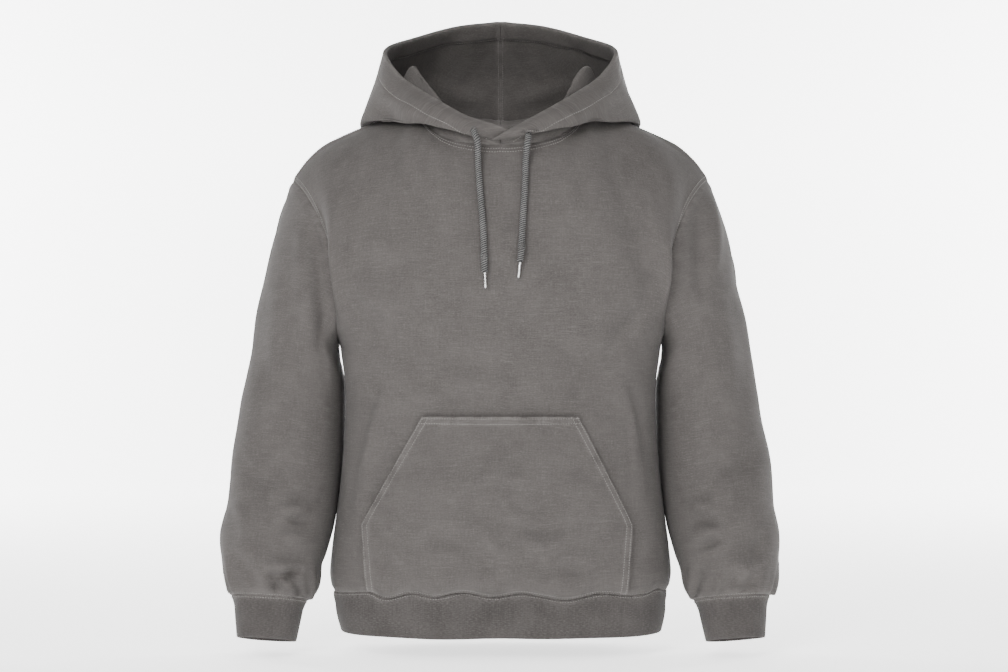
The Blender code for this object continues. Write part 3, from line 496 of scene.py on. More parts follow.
# ---------------------------------------------------------------- cloth
@dataclass
class Cloth:
    """A sheet of cloth: the grid of its outer face, its wall, and what lifts it.

    Attributes:
        name: The piece's name.
        grid: Rows of points on the outer face, before it is lifted.
        wall: Thickness, one number or one for each point.
        around: Whether the rows are closed, as on a tube.
        flip: Whether the outer face is on the other side of the grid.
        rim: Steps round each open edge.
        centre: The share of a row at which the cloth's grain runs straight up.
        wear: How worn each point is.
        normals: The outward direction at each point.
        across: Distance across the flat cloth.
        up: Distance along its grain.
    """

    name: str
    grid: Array
    wall: float | Array = CLOTH
    around: bool = False
    flip: bool = False
    rim: int = 4
    centre: float = 0.5
    wear: Array = field(init=False)
    normals: Array = field(init=False)
    across: Array = field(init=False)
    up: Array = field(init=False)

    def __post_init__(self) -> None:
        """Finds the outward directions and the place on the flat cloth, and starts with no wear."""
        self.wear = np.zeros(self.grid.shape[:2])
        across = run_lengths(self.grid, 1)
        middle = int(round(self.centre * (across.shape[1] - 1)))
        self.across = across - across[:, middle:middle + 1]
        down = float(self.grid[0, :, 2].mean() - self.grid[-1, :, 2].mean())
        self.up = run_lengths(self.grid, 0) - math.copysign(1, down) * self.grid[:1, :, 2]
        self.turn_outwards()

    def turn_outwards(self) -> None:
        """Finds the outward direction at each point."""
        if self.around:
            across = np.roll(self.grid, -1, 1) - np.roll(self.grid, 1, 1)
        else:
            across = np.gradient(self.grid, axis=1)
        normals = unit(np.cross(across, np.gradient(self.grid, axis=0)))
        self.normals = -normals if self.flip else normals

    def lift(self, heights: Array) -> None:
        """Moves each point outwards by its height."""
        self.grid = self.grid + self.normals * heights[..., None]
        self.turn_outwards()

    def from_edge(self, edge: str) -> Array:
        """Distance of each point from an edge: low, high, first or last."""
        runs = run_lengths(self.grid, 0 if edge in ("low", "high") else 1)
        if edge == "low" or edge == "first":
            return runs
        return (runs[-1:] - runs) if edge == "high" else (runs[:, -1:] - runs)

    def seam(self, edge: str, start: float = 0.0, end: float = 1.0, depth: float = 0.0011) -> None:
        """Sinks a seam along an edge between two shares of it, with a soft swelling beside it and wear."""
        distance = self.from_edge(edge)
        rows, columns = self.grid.shape[:2]
        level = edge in ("low", "high")
        place = np.linspace(0, 1, columns)[None, :] if level else np.linspace(0, 1, rows)[:, None]
        within = eased((place - start) / 0.02 + 1) * eased((end - place) / 0.02 + 1) * np.ones((rows, columns))
        swelling = 0.0007 * np.exp(-(((distance - 0.0085) / 0.004) ** 2))
        self.lift(within * (swelling - depth * np.exp(-((distance / 0.0022) ** 2))))
        self.wear += within * 0.55 * np.exp(-((distance / 0.0055) ** 2))

    def line(self, edge: str, distance: float, start: float = 0.0, end: float = 1.0,
             inner: bool = False) -> Array:
        """A line on the cloth along an edge.

        Args:
            edge: low, high, first or last.
            distance: How far in from the edge, on the surface.
            start: Where it starts, as a share of the edge.
            end: Where it ends.
            inner: Whether it is on the inner face.

        Returns:
            Points and outward directions, six numbers a row.
        """
        wall = (np.zeros(self.grid.shape[:2]) + self.wall)[..., None]
        points = self.grid - self.normals * wall if inner else self.grid
        facing = -self.normals if inner else self.normals
        both = np.concatenate([points, facing], axis=2)
        if edge in ("first", "last"):
            both = np.swapaxes(both, 0, 1)
        if edge in ("high", "last"):
            both = both[::-1]
        count = both.shape[1]
        low, high = int(round(start * (count - 1))), int(round(end * (count - 1)))
        both = both[:, low:high + 1]
        runs = run_lengths(both[..., :3], 0)
        found = []
        for j in range(both.shape[1]):
            found.append([np.interp(distance, runs[:, j], both[:, j, k]) for k in range(6)])
        found = np.array(found)
        if self.around and edge in ("low", "high") and low == 0 and high == count - 1:
            found = np.concatenate([found, found[:1]])
        return found

    def build(self, material: bpy.types.Material) -> bpy.types.Object:
        """Makes the closed wall, with rounded edges.

        Args:
            material: The cloth's finish.

        Returns:
            The new piece.
        """
        rows, columns = self.grid.shape[:2]
        wall = (np.zeros((rows, columns)) + self.wall)[..., None]
        outer, inner = self.grid, self.grid - self.normals * wall
        turns = [math.pi * step / self.rim for step in range(1, self.rim)]
        loop, wears = [outer], [self.wear]
        for end, beside in ((-1, -2), (0, 1)):
            away = unit(outer[end] - outer[beside])
            middle, half = (outer[end] + inner[end]) / 2, (outer[end] - inner[end]) / 2
            reach = np.linalg.norm(half, axis=1, keepdims=True)
            order = turns if end == -1 else turns[::-1]
            bent = [middle + half * math.cos(t) + away * reach * math.sin(t) * 0.8 for t in order]
            loop.append(np.array(bent))
            wears.append(np.repeat(self.wear[end][None], len(order), 0))
            if end == -1:
                loop.append(inner[::-1])
                wears.append(self.wear[::-1])
        points, wear = np.concatenate(loop), np.concatenate(wears)
        total = len(points)
        across, up = self.across, self.up
        bend = len(turns)
        u = np.concatenate([across, np.repeat(across[-1:], bend, 0),
                            across[::-1], np.repeat(across[:1], bend, 0)])
        rising = np.concatenate([up, up[-1:] + 0.001 * np.arange(1, bend + 1)[:, None], up[::-1],
                                 up[:1] - 0.001 * np.arange(bend, 0, -1)[:, None]])
        index = np.arange(total * columns).reshape(total, columns)
        after, beside = np.roll(index, -1, 0), np.roll(index, -1, 1)
        both = np.roll(after, -1, 1)
        last = columns if self.around else columns - 1
        faces = np.stack([index, beside, both, after], axis=-1)[:, :last].reshape(-1, 4).tolist()
        if not self.around:
            for column in (0, columns - 1):
                caps = self.side_faces(index[:, column].tolist(), rows)
                faces += caps if column == 0 else [cap[::-1] for cap in caps]
        if self.flip:
            faces = [face[::-1] for face in faces]
        mesh = bpy.data.meshes.new(self.name)
        mesh.from_pydata(points.reshape(-1, 3).tolist(), [], faces)
        mesh.update()
        corner = np.zeros(len(mesh.loops), np.int32)
        mesh.loops.foreach_get("vertex_index", corner)
        layer = mesh.uv_layers.new(name="cloth")
        uv = np.stack([u.reshape(-1), rising.reshape(-1)], axis=1)[corner]
        if self.around:
            girth = float(across[rows // 2, -1] - across[rows // 2, 0]) * (1 + 1 / columns)
            faces_u = uv[:, 0].reshape(-1, 4)
            wide = faces_u.max(1) - faces_u.min(1) > girth / 2
            faces_u[wide] = np.where(faces_u[wide] < 0, faces_u[wide] + girth, faces_u[wide])
            uv[:, 0] = faces_u.reshape(-1)
        layer.data.foreach_set("uv", uv.astype(np.float32).reshape(-1))
        mark = mesh.attributes.new("wear", "FLOAT", "POINT")
        mark.data.foreach_set("value", np.clip(wear, 0, 1).astype(np.float32).reshape(-1))
        mesh.materials.append(material)
        mesh.shade_smooth()
        mesh.set_sharp_from_angle(angle=math.radians(62))
        return add(self.name, mesh)

    def side_faces(self, ring: list[int], rows: int) -> list[list[int]]:
        """Faces that close the sheet's wall at its first column.

        Args:
            ring: The closed loop of points there: up the outer face, round the rim and down the inner one.
            rows: How many of them are on each face.

        Returns:
            The faces, each a list of points.
        """
        back = [2 * rows + self.rim - 2 - i for i in range(rows)]
        faces = [[ring[i], ring[i + 1], ring[back[i + 1]], ring[back[i]]] for i in range(rows - 1)]
        faces.append(ring[rows - 1:rows + self.rim])
        faces.append(ring[back[0]:] + ring[:1])
        return faces


def add(name: str, data: bpy.types.ID) -> bpy.types.Object:
    """A new object in the scene for its data."""
    obj = bpy.data.objects.new(name, data)
    bpy.context.scene.collection.objects.link(obj)
    return obj


def declare(piece: bpy.types.Object, slot: str, *nodes: str) -> bpy.types.Object:
    """Makes a piece part of the garment.

    Args:
        piece: The piece.
        slot: Not used.
        *nodes: The solids that it stands for.

    Returns:
        The same piece.
    """
    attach(piece, BODY)
    if nodes:
        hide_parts(*nodes)
    LOG.info("%s: %d faces", piece.name, len(piece.data.polygons) if piece.type == "MESH" else 0)
    return piece


# ---------------------------------------------------------------- stitches
@dataclass(frozen=True)
class Thread:
    """Sewing thread and the size of its stitches."""

    length: float = 0.0027
    pitch: float = 0.0034
    radius: float = 0.00056
    proud: float = 0.00012

    def stitches(self, lines: Sequence[Array]) -> tuple[Array, Array]:
        """Rows of stitches.

        Args:
            lines: For each row, points and outward directions, six numbers each.

        Returns:
            Vertices and quads of small rounded bars.
        """
        sides, verts, faces = 5, [], []
        stations = ((-0.5, 0.25), (-0.32, 1.0), (0.32, 1.0), (0.5, 0.25))
        for line in lines:
            run = np.concatenate([[0.0], np.cumsum(np.linalg.norm(np.diff(line[:, :3], axis=0), axis=1))])
            for centre in np.arange(self.pitch / 2, run[-1], self.pitch):
                ends = np.array([[np.interp(centre + s * self.length, run, line[:, k]) for k in range(6)]
                                 for s in (-0.5, 0.5)])
                way, out = unit(ends[1, :3] - ends[0, :3]), unit(ends.mean(0)[3:])
                beside = unit(np.cross(way, out))
                middle = ends[:, :3].mean(0) + out * self.proud
                start = len(verts)
                for place, size in stations:
                    dip = out * (-self.radius * (1 - size))
                    for k in range(sides):
                        turn = 2 * math.pi * k / sides
                        spoke = (beside * math.cos(turn) + out * math.sin(turn)) * self.radius * size
                        verts.append(middle + way * (place * self.length) + spoke + dip)
                for ring in range(3):
                    for k in range(sides):
                        a, b = start + ring * sides + k, start + ring * sides + (k + 1) % sides
                        faces.append((a, b, b + sides, a + sides))
                faces.append(tuple(start + k for k in range(sides))[::-1])
                faces.append(tuple(start + 3 * sides + k for k in range(sides)))
        return np.array(verts), faces

    def sew(self, name: str, slot: str, material: bpy.types.Material,
            lines: Sequence[Array]) -> bpy.types.Object:
        """Makes rows of stitches as one piece.

        Args:
            name: The piece's name.
            slot: The material slot of the cloth that they are on.
            material: The thread's finish.
            lines: The rows.

        Returns:
            The new piece.
        """
        verts, faces = self.stitches(lines)
        mesh = bpy.data.meshes.new(name)
        mesh.from_pydata(verts.tolist(), [], faces)
        mesh.materials.append(material)
        mesh.shade_smooth()
        return declare(add(name, mesh), slot)


# ---------------------------------------------------------------- finishes
class Value:
    """A socket in a finish. Arithmetic on it adds Math nodes."""

    def __init__(self, finish: "Nodes", socket: bpy.types.NodeSocket) -> None:
        """Holds a socket of a finish."""
        self.finish, self.socket = finish, socket

    def maths(self, operation: str, first: object, second: object = None) -> "Value":
        """One Math node.

        Args:
            operation: Its operation.
            first: Its first value, a number or a socket.
            second: Its second value, where it takes one.

        Returns:
            The result.
        """
        values = {0: first} if second is None else {0: first, 1: second}
        return self.finish.node("ShaderNodeMath", {"operation": operation}, values)

    def __add__(self, other: object) -> "Value":
        """Sum with a number or a socket."""
        return self.maths("ADD", self, other)

    __radd__ = __add__

    def __sub__(self, other: object) -> "Value":
        """Difference from a number or a socket."""
        return self.maths("SUBTRACT", self, other)

    def __rsub__(self, other: object) -> "Value":
        """Difference of a number and this."""
        return self.maths("SUBTRACT", other, self)

    def __mul__(self, other: object) -> "Value":
        """Product with a number or a socket."""
        return self.maths("MULTIPLY", self, other)

    __rmul__ = __mul__

    def step(self, low: float, high: float) -> "Value":
        """0 below one value, 1 above another, and soft between."""
        settings = {"interpolation_type": "SMOOTHSTEP"}
        inputs = {"Value": self, "From Min": low, "From Max": high}
        return self.finish.node("ShaderNodeMapRange", settings, inputs)


class Nodes:
    """A material under construction: its node tree and the ways to add to it."""

    def __init__(self, name: str) -> None:
        """Starts a material of that name."""
        self.material = bpy.data.materials.new(name)
        self.material.use_nodes = True
        self.tree = self.material.node_tree
        self.shader = self.tree.nodes["Principled BSDF"]

    def node(self, kind: str, settings: dict[str, object] | None = None,
             inputs: dict[int | str, object] | None = None, output: int | str = 0) -> Value:
        """Adds a node.

        Args:
            kind: The node's type.
            settings: Its properties, set first.
            inputs: A value or a link for each socket, by number or name.
            output: The socket to hand back.

        Returns:
            That output.
        """
        made = self.tree.nodes.new(kind)
        for key, setting in (settings or {}).items():
            setattr(made, key, setting)
        for key, value in (inputs or {}).items():
            self.feed(made.inputs[key], value)
        return Value(self, made.outputs[output])

    def feed(self, socket: bpy.types.NodeSocket, value: object) -> None:
        """Links a socket, or sets it to a plain value."""
        if isinstance(value, Value):
            self.tree.links.new(value.socket, socket)
        else:
            socket.default_value = value

    def blend(self, share: object, first: object, second: object) -> Value:
        """A Mix node on colours.

        Args:
            share: How much of the second shows.
            first: A colour, or a socket that carries one.
            second: The same.

        Returns:
            The blended colour.
        """
        settings = {"data_type": "RGBA", "blend_type": "MIX"}
        inputs = {0: share, 6: self.colour(first), 7: self.colour(second)}
        return self.node("ShaderNodeMix", settings, inputs, 2)

    def colour(self, value: object) -> object:
        """A plain colour with its alpha, or a socket as it is."""
        return (*value, 1.0) if isinstance(value, tuple) else value

    def cloth_place(self, across: float, up: float) -> Value:
        """The place on the cloth, in metres across and up it, times a scale each way."""
        uv = self.node("ShaderNodeUVMap", {"uv_map": "cloth"})
        return self.node("ShaderNodeVectorMath", {"operation": "MULTIPLY"}, {0: uv, 1: (across, up, 1.0)})

    def noise(self, place: Value, scale: float, detail: float = 2.0, roughness: float = 0.5) -> Value:
        """Smooth noise from 0 to 1."""
        inputs = {"Vector": place, "Scale": scale, "Detail": detail, "Roughness": roughness}
        return self.node("ShaderNodeTexNoise", {"noise_dimensions": "3D"}, inputs)

    def wave(self, place: Value, direction: str, scale: float) -> Value:
        """Even ribs from 0 to 1 along a direction, X or Y."""
        settings = {"wave_type": "BANDS", "bands_direction": direction, "wave_profile": "SIN"}
        return self.node("ShaderNodeTexWave", settings, {"Vector": place, "Scale": scale})

    def worn(self) -> Value:
        """The wear marked on the cloth, from 0 to 1."""
        return self.node("ShaderNodeAttribute", {"attribute_name": "wear"}, output="Fac")

    def finish(self, colour: object, roughness: object, height: Value | None = None, deep: float = 0.0005,
               strength: float = 1.0, gloss: float = 0.18, **plain: object) -> bpy.types.Material:
        """Feeds the shader.

        Args:
            colour: Base colour.
            roughness: Roughness.
            height: What the bump follows.
            deep: The bump's full height in metres.
            strength: The bump's strength.
            gloss: How much the surface reflects straight on, where 0.5 is a plain plastic.
            **plain: Uniform values for other sockets, with _ for each space.

        Returns:
            The material.
        """
        self.feed(self.shader.inputs["Base Color"], self.colour(colour))
        self.feed(self.shader.inputs["Roughness"], roughness)
        self.feed(self.shader.inputs["Specular IOR Level"], gloss)
        for name, value in plain.items():
            self.shader.inputs[name.replace("_", " ").title()].default_value = value
        if height is not None:
            inputs = {"Height": height, "Distance": deep, "Strength": strength}
            self.feed(self.shader.inputs["Normal"], self.node("ShaderNodeBump", {}, inputs))
        return self.material


@dataclass(frozen=True)
class WashedFleece:
    """Sweatshirt fleece, dyed and washed as a finished garment: faint slubs both ways, clouds of paler dye, and
    worn seams."""

    name: str
    colour: tuple[float, float, float] = (0.0690, 0.0632, 0.0600)
    pale: tuple[float, float, float] = (0.138, 0.129, 0.123)
    deep: tuple[float, float, float] = (0.0410, 0.0373, 0.0352)

    def make(self) -> bpy.types.Material:
        """Makes the material."""
        nodes = Nodes(self.name)
        clouds = nodes.noise(nodes.cloth_place(1, 1), 16, 3, 0.55)
        patches = nodes.noise(nodes.cloth_place(1, 0.7), 46, 3, 0.6)
        rows = nodes.noise(nodes.cloth_place(60, 1400), 1, 2, 0.6)
        posts = nodes.noise(nodes.cloth_place(1250, 55), 1, 2, 0.6)
        slub = nodes.noise(nodes.cloth_place(26, 420), 1, 3, 0.65)
        fuzz = nodes.noise(nodes.cloth_place(1, 1), 1500, 2, 0.6)
        grain = nodes.noise(nodes.cloth_place(330, 760), 1, 3, 0.7)
        weave = 0.42 * rows + 0.30 * posts + 0.28 * slub
        tone = 0.17 * clouds + 0.15 * patches + 0.44 * grain + 0.24 * weave
        base = nodes.blend(tone.step(0.30, 0.64), self.deep, self.colour)
        base = nodes.blend(0.26 * weave.step(0.48, 0.68), base, self.pale)
        base = nodes.blend(0.22 * grain.step(0.56, 0.74), base, self.pale)
        rubbed = 0.6 * nodes.worn() * patches.step(0.30, 0.60) * weave.step(0.34, 0.56)
        base = nodes.blend(rubbed, base, self.pale)
        bump = 0.30 * weave + 0.25 * fuzz + 0.25 * grain + 0.2 * patches
        return nodes.finish(base, 0.93 - 0.06 * clouds, bump, 0.0009, 0.55,
                            sheen_weight=0.03, sheen_roughness=0.6)


@dataclass(frozen=True)
class RibKnit:
    """Rib knit of the bands: its ribs are shaped, and this gives their stitches and tone."""

    name: str
    colour: tuple[float, float, float] = (0.0540, 0.0492, 0.0470)
    pale: tuple[float, float, float] = (0.112, 0.104, 0.099)
    deep: tuple[float, float, float] = (0.0350, 0.0318, 0.0302)

    def make(self) -> bpy.types.Material:
        """Makes the material."""
        nodes = Nodes(self.name)
        clouds = nodes.noise(nodes.cloth_place(1, 1), 22, 3, 0.55)
        loops = nodes.noise(nodes.cloth_place(240, 900), 1, 2, 0.6)
        posts = nodes.noise(nodes.cloth_place(600, 22), 1, 2, 0.6)
        tone = 0.4 * clouds + 0.45 * loops + 0.15 * posts
        base = nodes.blend(tone.step(0.36, 0.64), self.deep, self.colour)
        base = nodes.blend(0.16 * loops.step(0.50, 0.68), base, self.pale)
        base = nodes.blend(nodes.worn() * loops.step(0.32, 0.56), base, self.pale)
        bump = 0.7 * loops + 0.3 * posts
        return nodes.finish(base, 0.94 - 0.05 * clouds, bump, 0.0006, 0.5,
                            sheen_weight=0.03, sheen_roughness=0.6)


@dataclass(frozen=True)
class WovenTape:
    """Herringbone tape inside the neck."""

    name: str
    colour: tuple[float, float, float] = (0.100, 0.094, 0.090)
    deep: tuple[float, float, float] = (0.058, 0.054, 0.051)

    def make(self) -> bpy.types.Material:
        """Makes the material."""
        nodes = Nodes(self.name)
        twill = nodes.wave(nodes.cloth_place(1, 0.6), "DIAGONAL", 260)
        mottle = nodes.noise(nodes.cloth_place(1, 1), 300)
        tone = 0.6 * twill + 0.4 * mottle
        return nodes.finish(nodes.blend(tone, self.deep, self.colour), 0.9 - 0.1 * mottle, twill, 0.0004, 0.6)


@dataclass(frozen=True)
class Spun:
    """Thread, braid or cord of spun yarn, and the near-black painted shade inside the eyelets."""

    name: str
    colour: tuple[float, float, float]
    pale: tuple[float, float, float]
    scale: float = 900.0

    def make(self) -> bpy.types.Material:
        """Makes the material."""
        nodes = Nodes(self.name)
        place = nodes.node("ShaderNodeTexCoord", output="Object")
        fibre = nodes.noise(place, self.scale, 2, 0.6)
        faded = nodes.noise(place, 45, 2, 0.5)
        base = nodes.blend((0.6 * fibre + 0.4 * faded).step(0.36, 0.64), self.colour, self.pale)
        return nodes.finish(base, 0.88 - 0.1 * faded, fibre, 0.0003, 0.5,
                            sheen_weight=0.03, sheen_roughness=0.5)


@dataclass(frozen=True)
class BrightMetal:
    """Plain bright metal of the cord tips, with fine drawn lines."""

    name: str

    def make(self) -> bpy.types.Material:
        """Makes the material."""
        nodes = Nodes(self.name)
        place = nodes.node("ShaderNodeTexCoord", output="Object")
        lines = nodes.noise(nodes.node("ShaderNodeVectorMath", {"operation": "MULTIPLY"},
                                       {0: place, 1: (1.0, 1.0, 0.08)}), 2500, 2, 0.6)
        smears = nodes.noise(place, 160, 2, 0.5)
        base = nodes.blend(smears.step(0.3, 0.7), (0.62, 0.61, 0.60), (0.86, 0.86, 0.86))
        return nodes.finish(base, 0.20 + 0.18 * smears, lines, 0.0001, 0.3, metallic=1.0)


@dataclass(frozen=True)
class PlainFloor:
    """Plain pale floor and wall."""

    name: str

    def make(self) -> bpy.types.Material:
        """Makes the material."""
        glow = {"emission_color": (1.0, 1.0, 1.0, 1.0), "emission_strength": 1.6}
        return Nodes(self.name).finish((0.93, 0.93, 0.93), 0.95, **glow)


# ---------------------------------------------------------------- folds of each piece
FRONT_FOLDS = (
    Fold(Face.FRONT, 0.013, 0.0042, 0.25, ((-0.1458, -0.372), (-0.1776, -0.475), (-0.2005, -0.600))),
    Fold(Face.FRONT, 0.011, -0.0026, 0.0, ((-0.1620, -0.385), (-0.1930, -0.480), (-0.2130, -0.590))),
    Fold(Face.FRONT, 0.012, 0.0040, -0.25,
         ((0.1559, -0.360), (0.1725, -0.434), (0.1878, -0.502), (0.197, -0.600))),
    Fold(Face.FRONT, 0.011, -0.0028, 0.0,
         ((0.1720, -0.372), (0.1880, -0.445), (0.2040, -0.520), (0.210, -0.590))),
    Fold(Face.FRONT, 0.016, 0.0032, 0.2, ((-0.1960, -0.235), (-0.1620, -0.262), (-0.1120, -0.300))),
    Fold(Face.FRONT, 0.014, -0.0024, 0.0, ((-0.1980, -0.262), (-0.1640, -0.292), (-0.1240, -0.345))),
    Fold(Face.FRONT, 0.016, 0.0030, -0.2, ((0.1930, -0.232), (0.1600, -0.258), (0.1160, -0.288))),
    Fold(Face.FRONT, 0.013, -0.0024, 0.0, ((0.1960, -0.262), (0.1640, -0.295), (0.1320, -0.352))),
    Fold(Face.FRONT, 0.020, 0.0022, 0.0, ((-0.1900, -0.190), (-0.1500, -0.196), (-0.1050, -0.215))),
    Fold(Face.FRONT, 0.018, 0.0020, 0.0, ((0.1880, -0.186), (0.1500, -0.190), (0.1100, -0.204))),
    Fold(Face.FRONT, 0.018, -0.0018, 0.1, ((-0.1050, -0.315), (-0.0400, -0.345), (0.0300, -0.352))),
    Fold(Face.FRONT, 0.016, 0.0018, -0.1, ((-0.0900, -0.350), (-0.0200, -0.372), (0.0620, -0.368))),
    Fold(Face.FRONT, 0.015, -0.0016, 0.0, ((0.0500, -0.300), (0.0900, -0.330), (0.1300, -0.345))),
    Fold(Face.FRONT, 0.013, 0.0015, 0.0, ((-0.1280, -0.395), (-0.1000, -0.386), (-0.0620, -0.392))),
    Fold(Face.FRONT, 0.020, -0.0016, 0.0, ((-0.0700, -0.120), (-0.0780, -0.180), (-0.0860, -0.250))),
    Fold(Face.FRONT, 0.020, -0.0015, 0.0, ((0.0760, -0.115), (0.0820, -0.175), (0.0840, -0.240))),
    Fold(Face.FRONT, 0.009, -0.0016, 0.0, ((-0.2140, -0.520), (-0.2060, -0.556), (-0.1980, -0.612))),
    Fold(Face.FRONT, 0.009, -0.0016, 0.0, ((0.2130, -0.515), (0.2080, -0.560), (0.2030, -0.615))),
    Fold(Face.LEFT, 0.014, -0.0030, 0.1, ((-0.060, -0.350), (-0.020, -0.372), (0.030, -0.366))),
    Fold(Face.RIGHT, 0.014, -0.0030, -0.1, ((-0.065, -0.344), (-0.020, -0.370), (0.024, -0.362))),
)
BACK_FOLDS = (
    Fold(Face.BACK, 0.020, -0.0034, 0.2, ((-0.175, -0.250), (-0.110, -0.320), (-0.030, -0.352))),
    Fold(Face.BACK, 0.018, 0.0034, 0.1, ((-0.180, -0.215), (-0.120, -0.276), (-0.050, -0.305))),
    Fold(Face.BACK, 0.020, -0.0032, -0.2, ((0.172, -0.245), (0.118, -0.306), (0.040, -0.340))),
    Fold(Face.BACK, 0.017, 0.0032, 0.0, ((0.178, -0.206), (0.122, -0.262), (0.062, -0.290))),
    Fold(Face.BACK, 0.022, -0.0028, 0.1, ((-0.130, -0.420), (-0.020, -0.452), (0.100, -0.428))),
    Fold(Face.BACK, 0.018, 0.0030, 0.0, ((-0.150, -0.468), (-0.030, -0.505), (0.120, -0.478))),
    Fold(Face.BACK, 0.016, -0.0030, 0.1,
         ((-0.170, -0.520), (-0.060, -0.552), (0.050, -0.546), (0.150, -0.528))),
    Fold(Face.BACK, 0.014, 0.0030, 0.0,
         ((-0.160, -0.566), (-0.040, -0.592), (0.090, -0.582), (0.165, -0.570))),
    Fold(Face.BACK, 0.016, 0.0026, 0.0, ((-0.196, -0.380), (-0.186, -0.480), (-0.204, -0.580))),
    Fold(Face.BACK, 0.016, 0.0026, 0.0, ((0.194, -0.390), (0.182, -0.470), (0.200, -0.575))),
)


# Folds across the back of a sleeve: width, height, lean, and three places across and up.
BEHIND_SLEEVE = (
    (0.012, -0.0044, 0.2, (0.226, -0.372), (0.270, -0.380), (0.316, -0.352)),
    (0.014, 0.0040, 0.0, (0.228, -0.398), (0.274, -0.408), (0.326, -0.386)),
    (0.011, -0.0044, 0.2, (0.224, -0.430), (0.262, -0.440), (0.312, -0.430)),
    (0.012, -0.0040, 0.1, (0.226, -0.520), (0.276, -0.538), (0.334, -0.520)),
    (0.012, 0.0040, 0.0, (0.230, -0.556), (0.280, -0.574), (0.340, -0.560)),
    (0.010, -0.0040, 0.1, (0.240, -0.596), (0.284, -0.610), (0.338, -0.598)),
)


def sleeve_folds(side: int) -> tuple[Fold, ...]:
    """The folds of one sleeve: its own in front, and alike ones where it turns away."""
    if side < 0:
        front = (
            Fold(Face.FRONT, 0.012, -0.0034, 0.3,
                 ((-0.244, -0.150), (-0.236, -0.215), (-0.229, -0.300), (-0.224, -0.410))),
            Fold(Face.FRONT, 0.014, 0.0030, 0.0, ((-0.262, -0.165), (-0.254, -0.240), (-0.248, -0.330))),
            Fold(Face.FRONT, 0.016, -0.0020, 0.0, ((-0.312, -0.240), (-0.318, -0.310), (-0.308, -0.390))),
            Fold(Face.FRONT, 0.0075, -0.0060, 0.35, ((-0.276, -0.546), (-0.252, -0.549), (-0.214, -0.537))),
            Fold(Face.FRONT, 0.010, 0.0048, 0.0, ((-0.286, -0.530), (-0.255, -0.533), (-0.216, -0.519))),
            Fold(Face.FRONT, 0.010, 0.0046, 0.0, ((-0.284, -0.566), (-0.254, -0.568), (-0.222, -0.560))),
            Fold(Face.FRONT, 0.0065, -0.0046, 0.3, ((-0.300, -0.617), (-0.280, -0.619), (-0.254, -0.612))),
            Fold(Face.FRONT, 0.009, 0.0036, 0.0, ((-0.306, -0.604), (-0.282, -0.604), (-0.252, -0.597))),
            Fold(Face.FRONT, 0.0055, -0.0034, 0.0, ((-0.2900, -0.618), (-0.2885, -0.632), (-0.2895, -0.646))),
            Fold(Face.FRONT, 0.014, -0.0022, 0.0, ((-0.346, -0.470), (-0.318, -0.492), (-0.286, -0.500))),
            Fold(Face.FRONT, 0.012, 0.0024, 0.0, ((-0.350, -0.520), (-0.330, -0.552), (-0.330, -0.600))),
            Fold(Face.FRONT, 0.010, -0.0024, 0.0, ((-0.346, -0.586), (-0.330, -0.604), (-0.318, -0.632))),
        )
    else:
        front = (
            Fold(Face.FRONT, 0.013, 0.0040, -0.2, ((0.276, -0.118), (0.279, -0.165), (0.280, -0.228))),
            Fold(Face.FRONT, 0.013, -0.0030, 0.0, ((0.260, -0.130), (0.262, -0.190), (0.258, -0.260))),
            Fold(Face.FRONT, 0.016, -0.0022, 0.0, ((0.306, -0.250), (0.322, -0.330), (0.318, -0.420))),
            Fold(Face.FRONT, 0.0080, -0.0060, 0.2, ((0.224, -0.470), (0.227, -0.498), (0.221, -0.532))),
            Fold(Face.FRONT, 0.0085, -0.0052, 0.2,
                 ((0.214, -0.548), (0.236, -0.552), (0.262, -0.548), (0.286, -0.558))),
            Fold(Face.FRONT, 0.010, 0.0046, 0.0, ((0.222, -0.526), (0.246, -0.530), (0.276, -0.528))),
            Fold(Face.FRONT, 0.0070, -0.0046, 0.3, ((0.240, -0.590), (0.262, -0.580), (0.284, -0.572))),
            Fold(Face.FRONT, 0.010, 0.0044, 0.0, ((0.232, -0.572), (0.258, -0.564), (0.292, -0.552))),
            Fold(Face.FRONT, 0.012, -0.0034, 0.0, ((0.300, -0.622), (0.314, -0.630), (0.334, -0.624))),
            Fold(Face.FRONT, 0.012, 0.0034, 0.0, ((0.290, -0.600), (0.312, -0.606), (0.342, -0.598))),
            Fold(Face.FRONT, 0.014, -0.0026, 0.0, ((0.346, -0.452), (0.316, -0.474), (0.286, -0.482))),
            Fold(Face.FRONT, 0.010, -0.0028, 0.0, ((0.344, -0.560), (0.330, -0.590), (0.318, -0.612))),
        )
    tilt = 0.012 * side
    behind = [
        Fold(Face.BACK, width, height, lean, ((side * a, high), (side * b, middle + tilt), (side * c, low)))
        for width, height, lean, (a, high), (b, middle), (c, low) in BEHIND_SLEEVE
    ]
    outer, inner = (Face.LEFT, Face.RIGHT) if side > 0 else (Face.RIGHT, Face.LEFT)
    hidden = [
        Fold(Face.BACK, 0.016, 0.0030, 0.0,
             ((side * 0.236, -0.180), (side * 0.244, -0.240), (side * 0.240, -0.320))),
        Fold(outer, 0.013, -0.0040, 0.1, ((-0.060, -0.520), (-0.020, -0.534), (0.040, -0.516))),
        Fold(outer, 0.013, 0.0036, 0.0, ((-0.070, -0.548), (-0.020, -0.566), (0.036, -0.548))),
        Fold(outer, 0.012, -0.0040, 0.1, ((-0.080, -0.584), (-0.030, -0.600), (0.020, -0.590))),
        Fold(outer, 0.018, -0.0030, 0.0, ((-0.040, -0.340), (0.010, -0.372), (0.070, -0.362))),
        Fold(inner, 0.012, -0.0046, 0.1, ((-0.050, -0.470), (-0.010, -0.486), (0.050, -0.470))),
        Fold(inner, 0.012, -0.0040, 0.1, ((-0.060, -0.560), (-0.020, -0.574), (0.030, -0.566))),
    ]
    return front + tuple(behind + hidden)


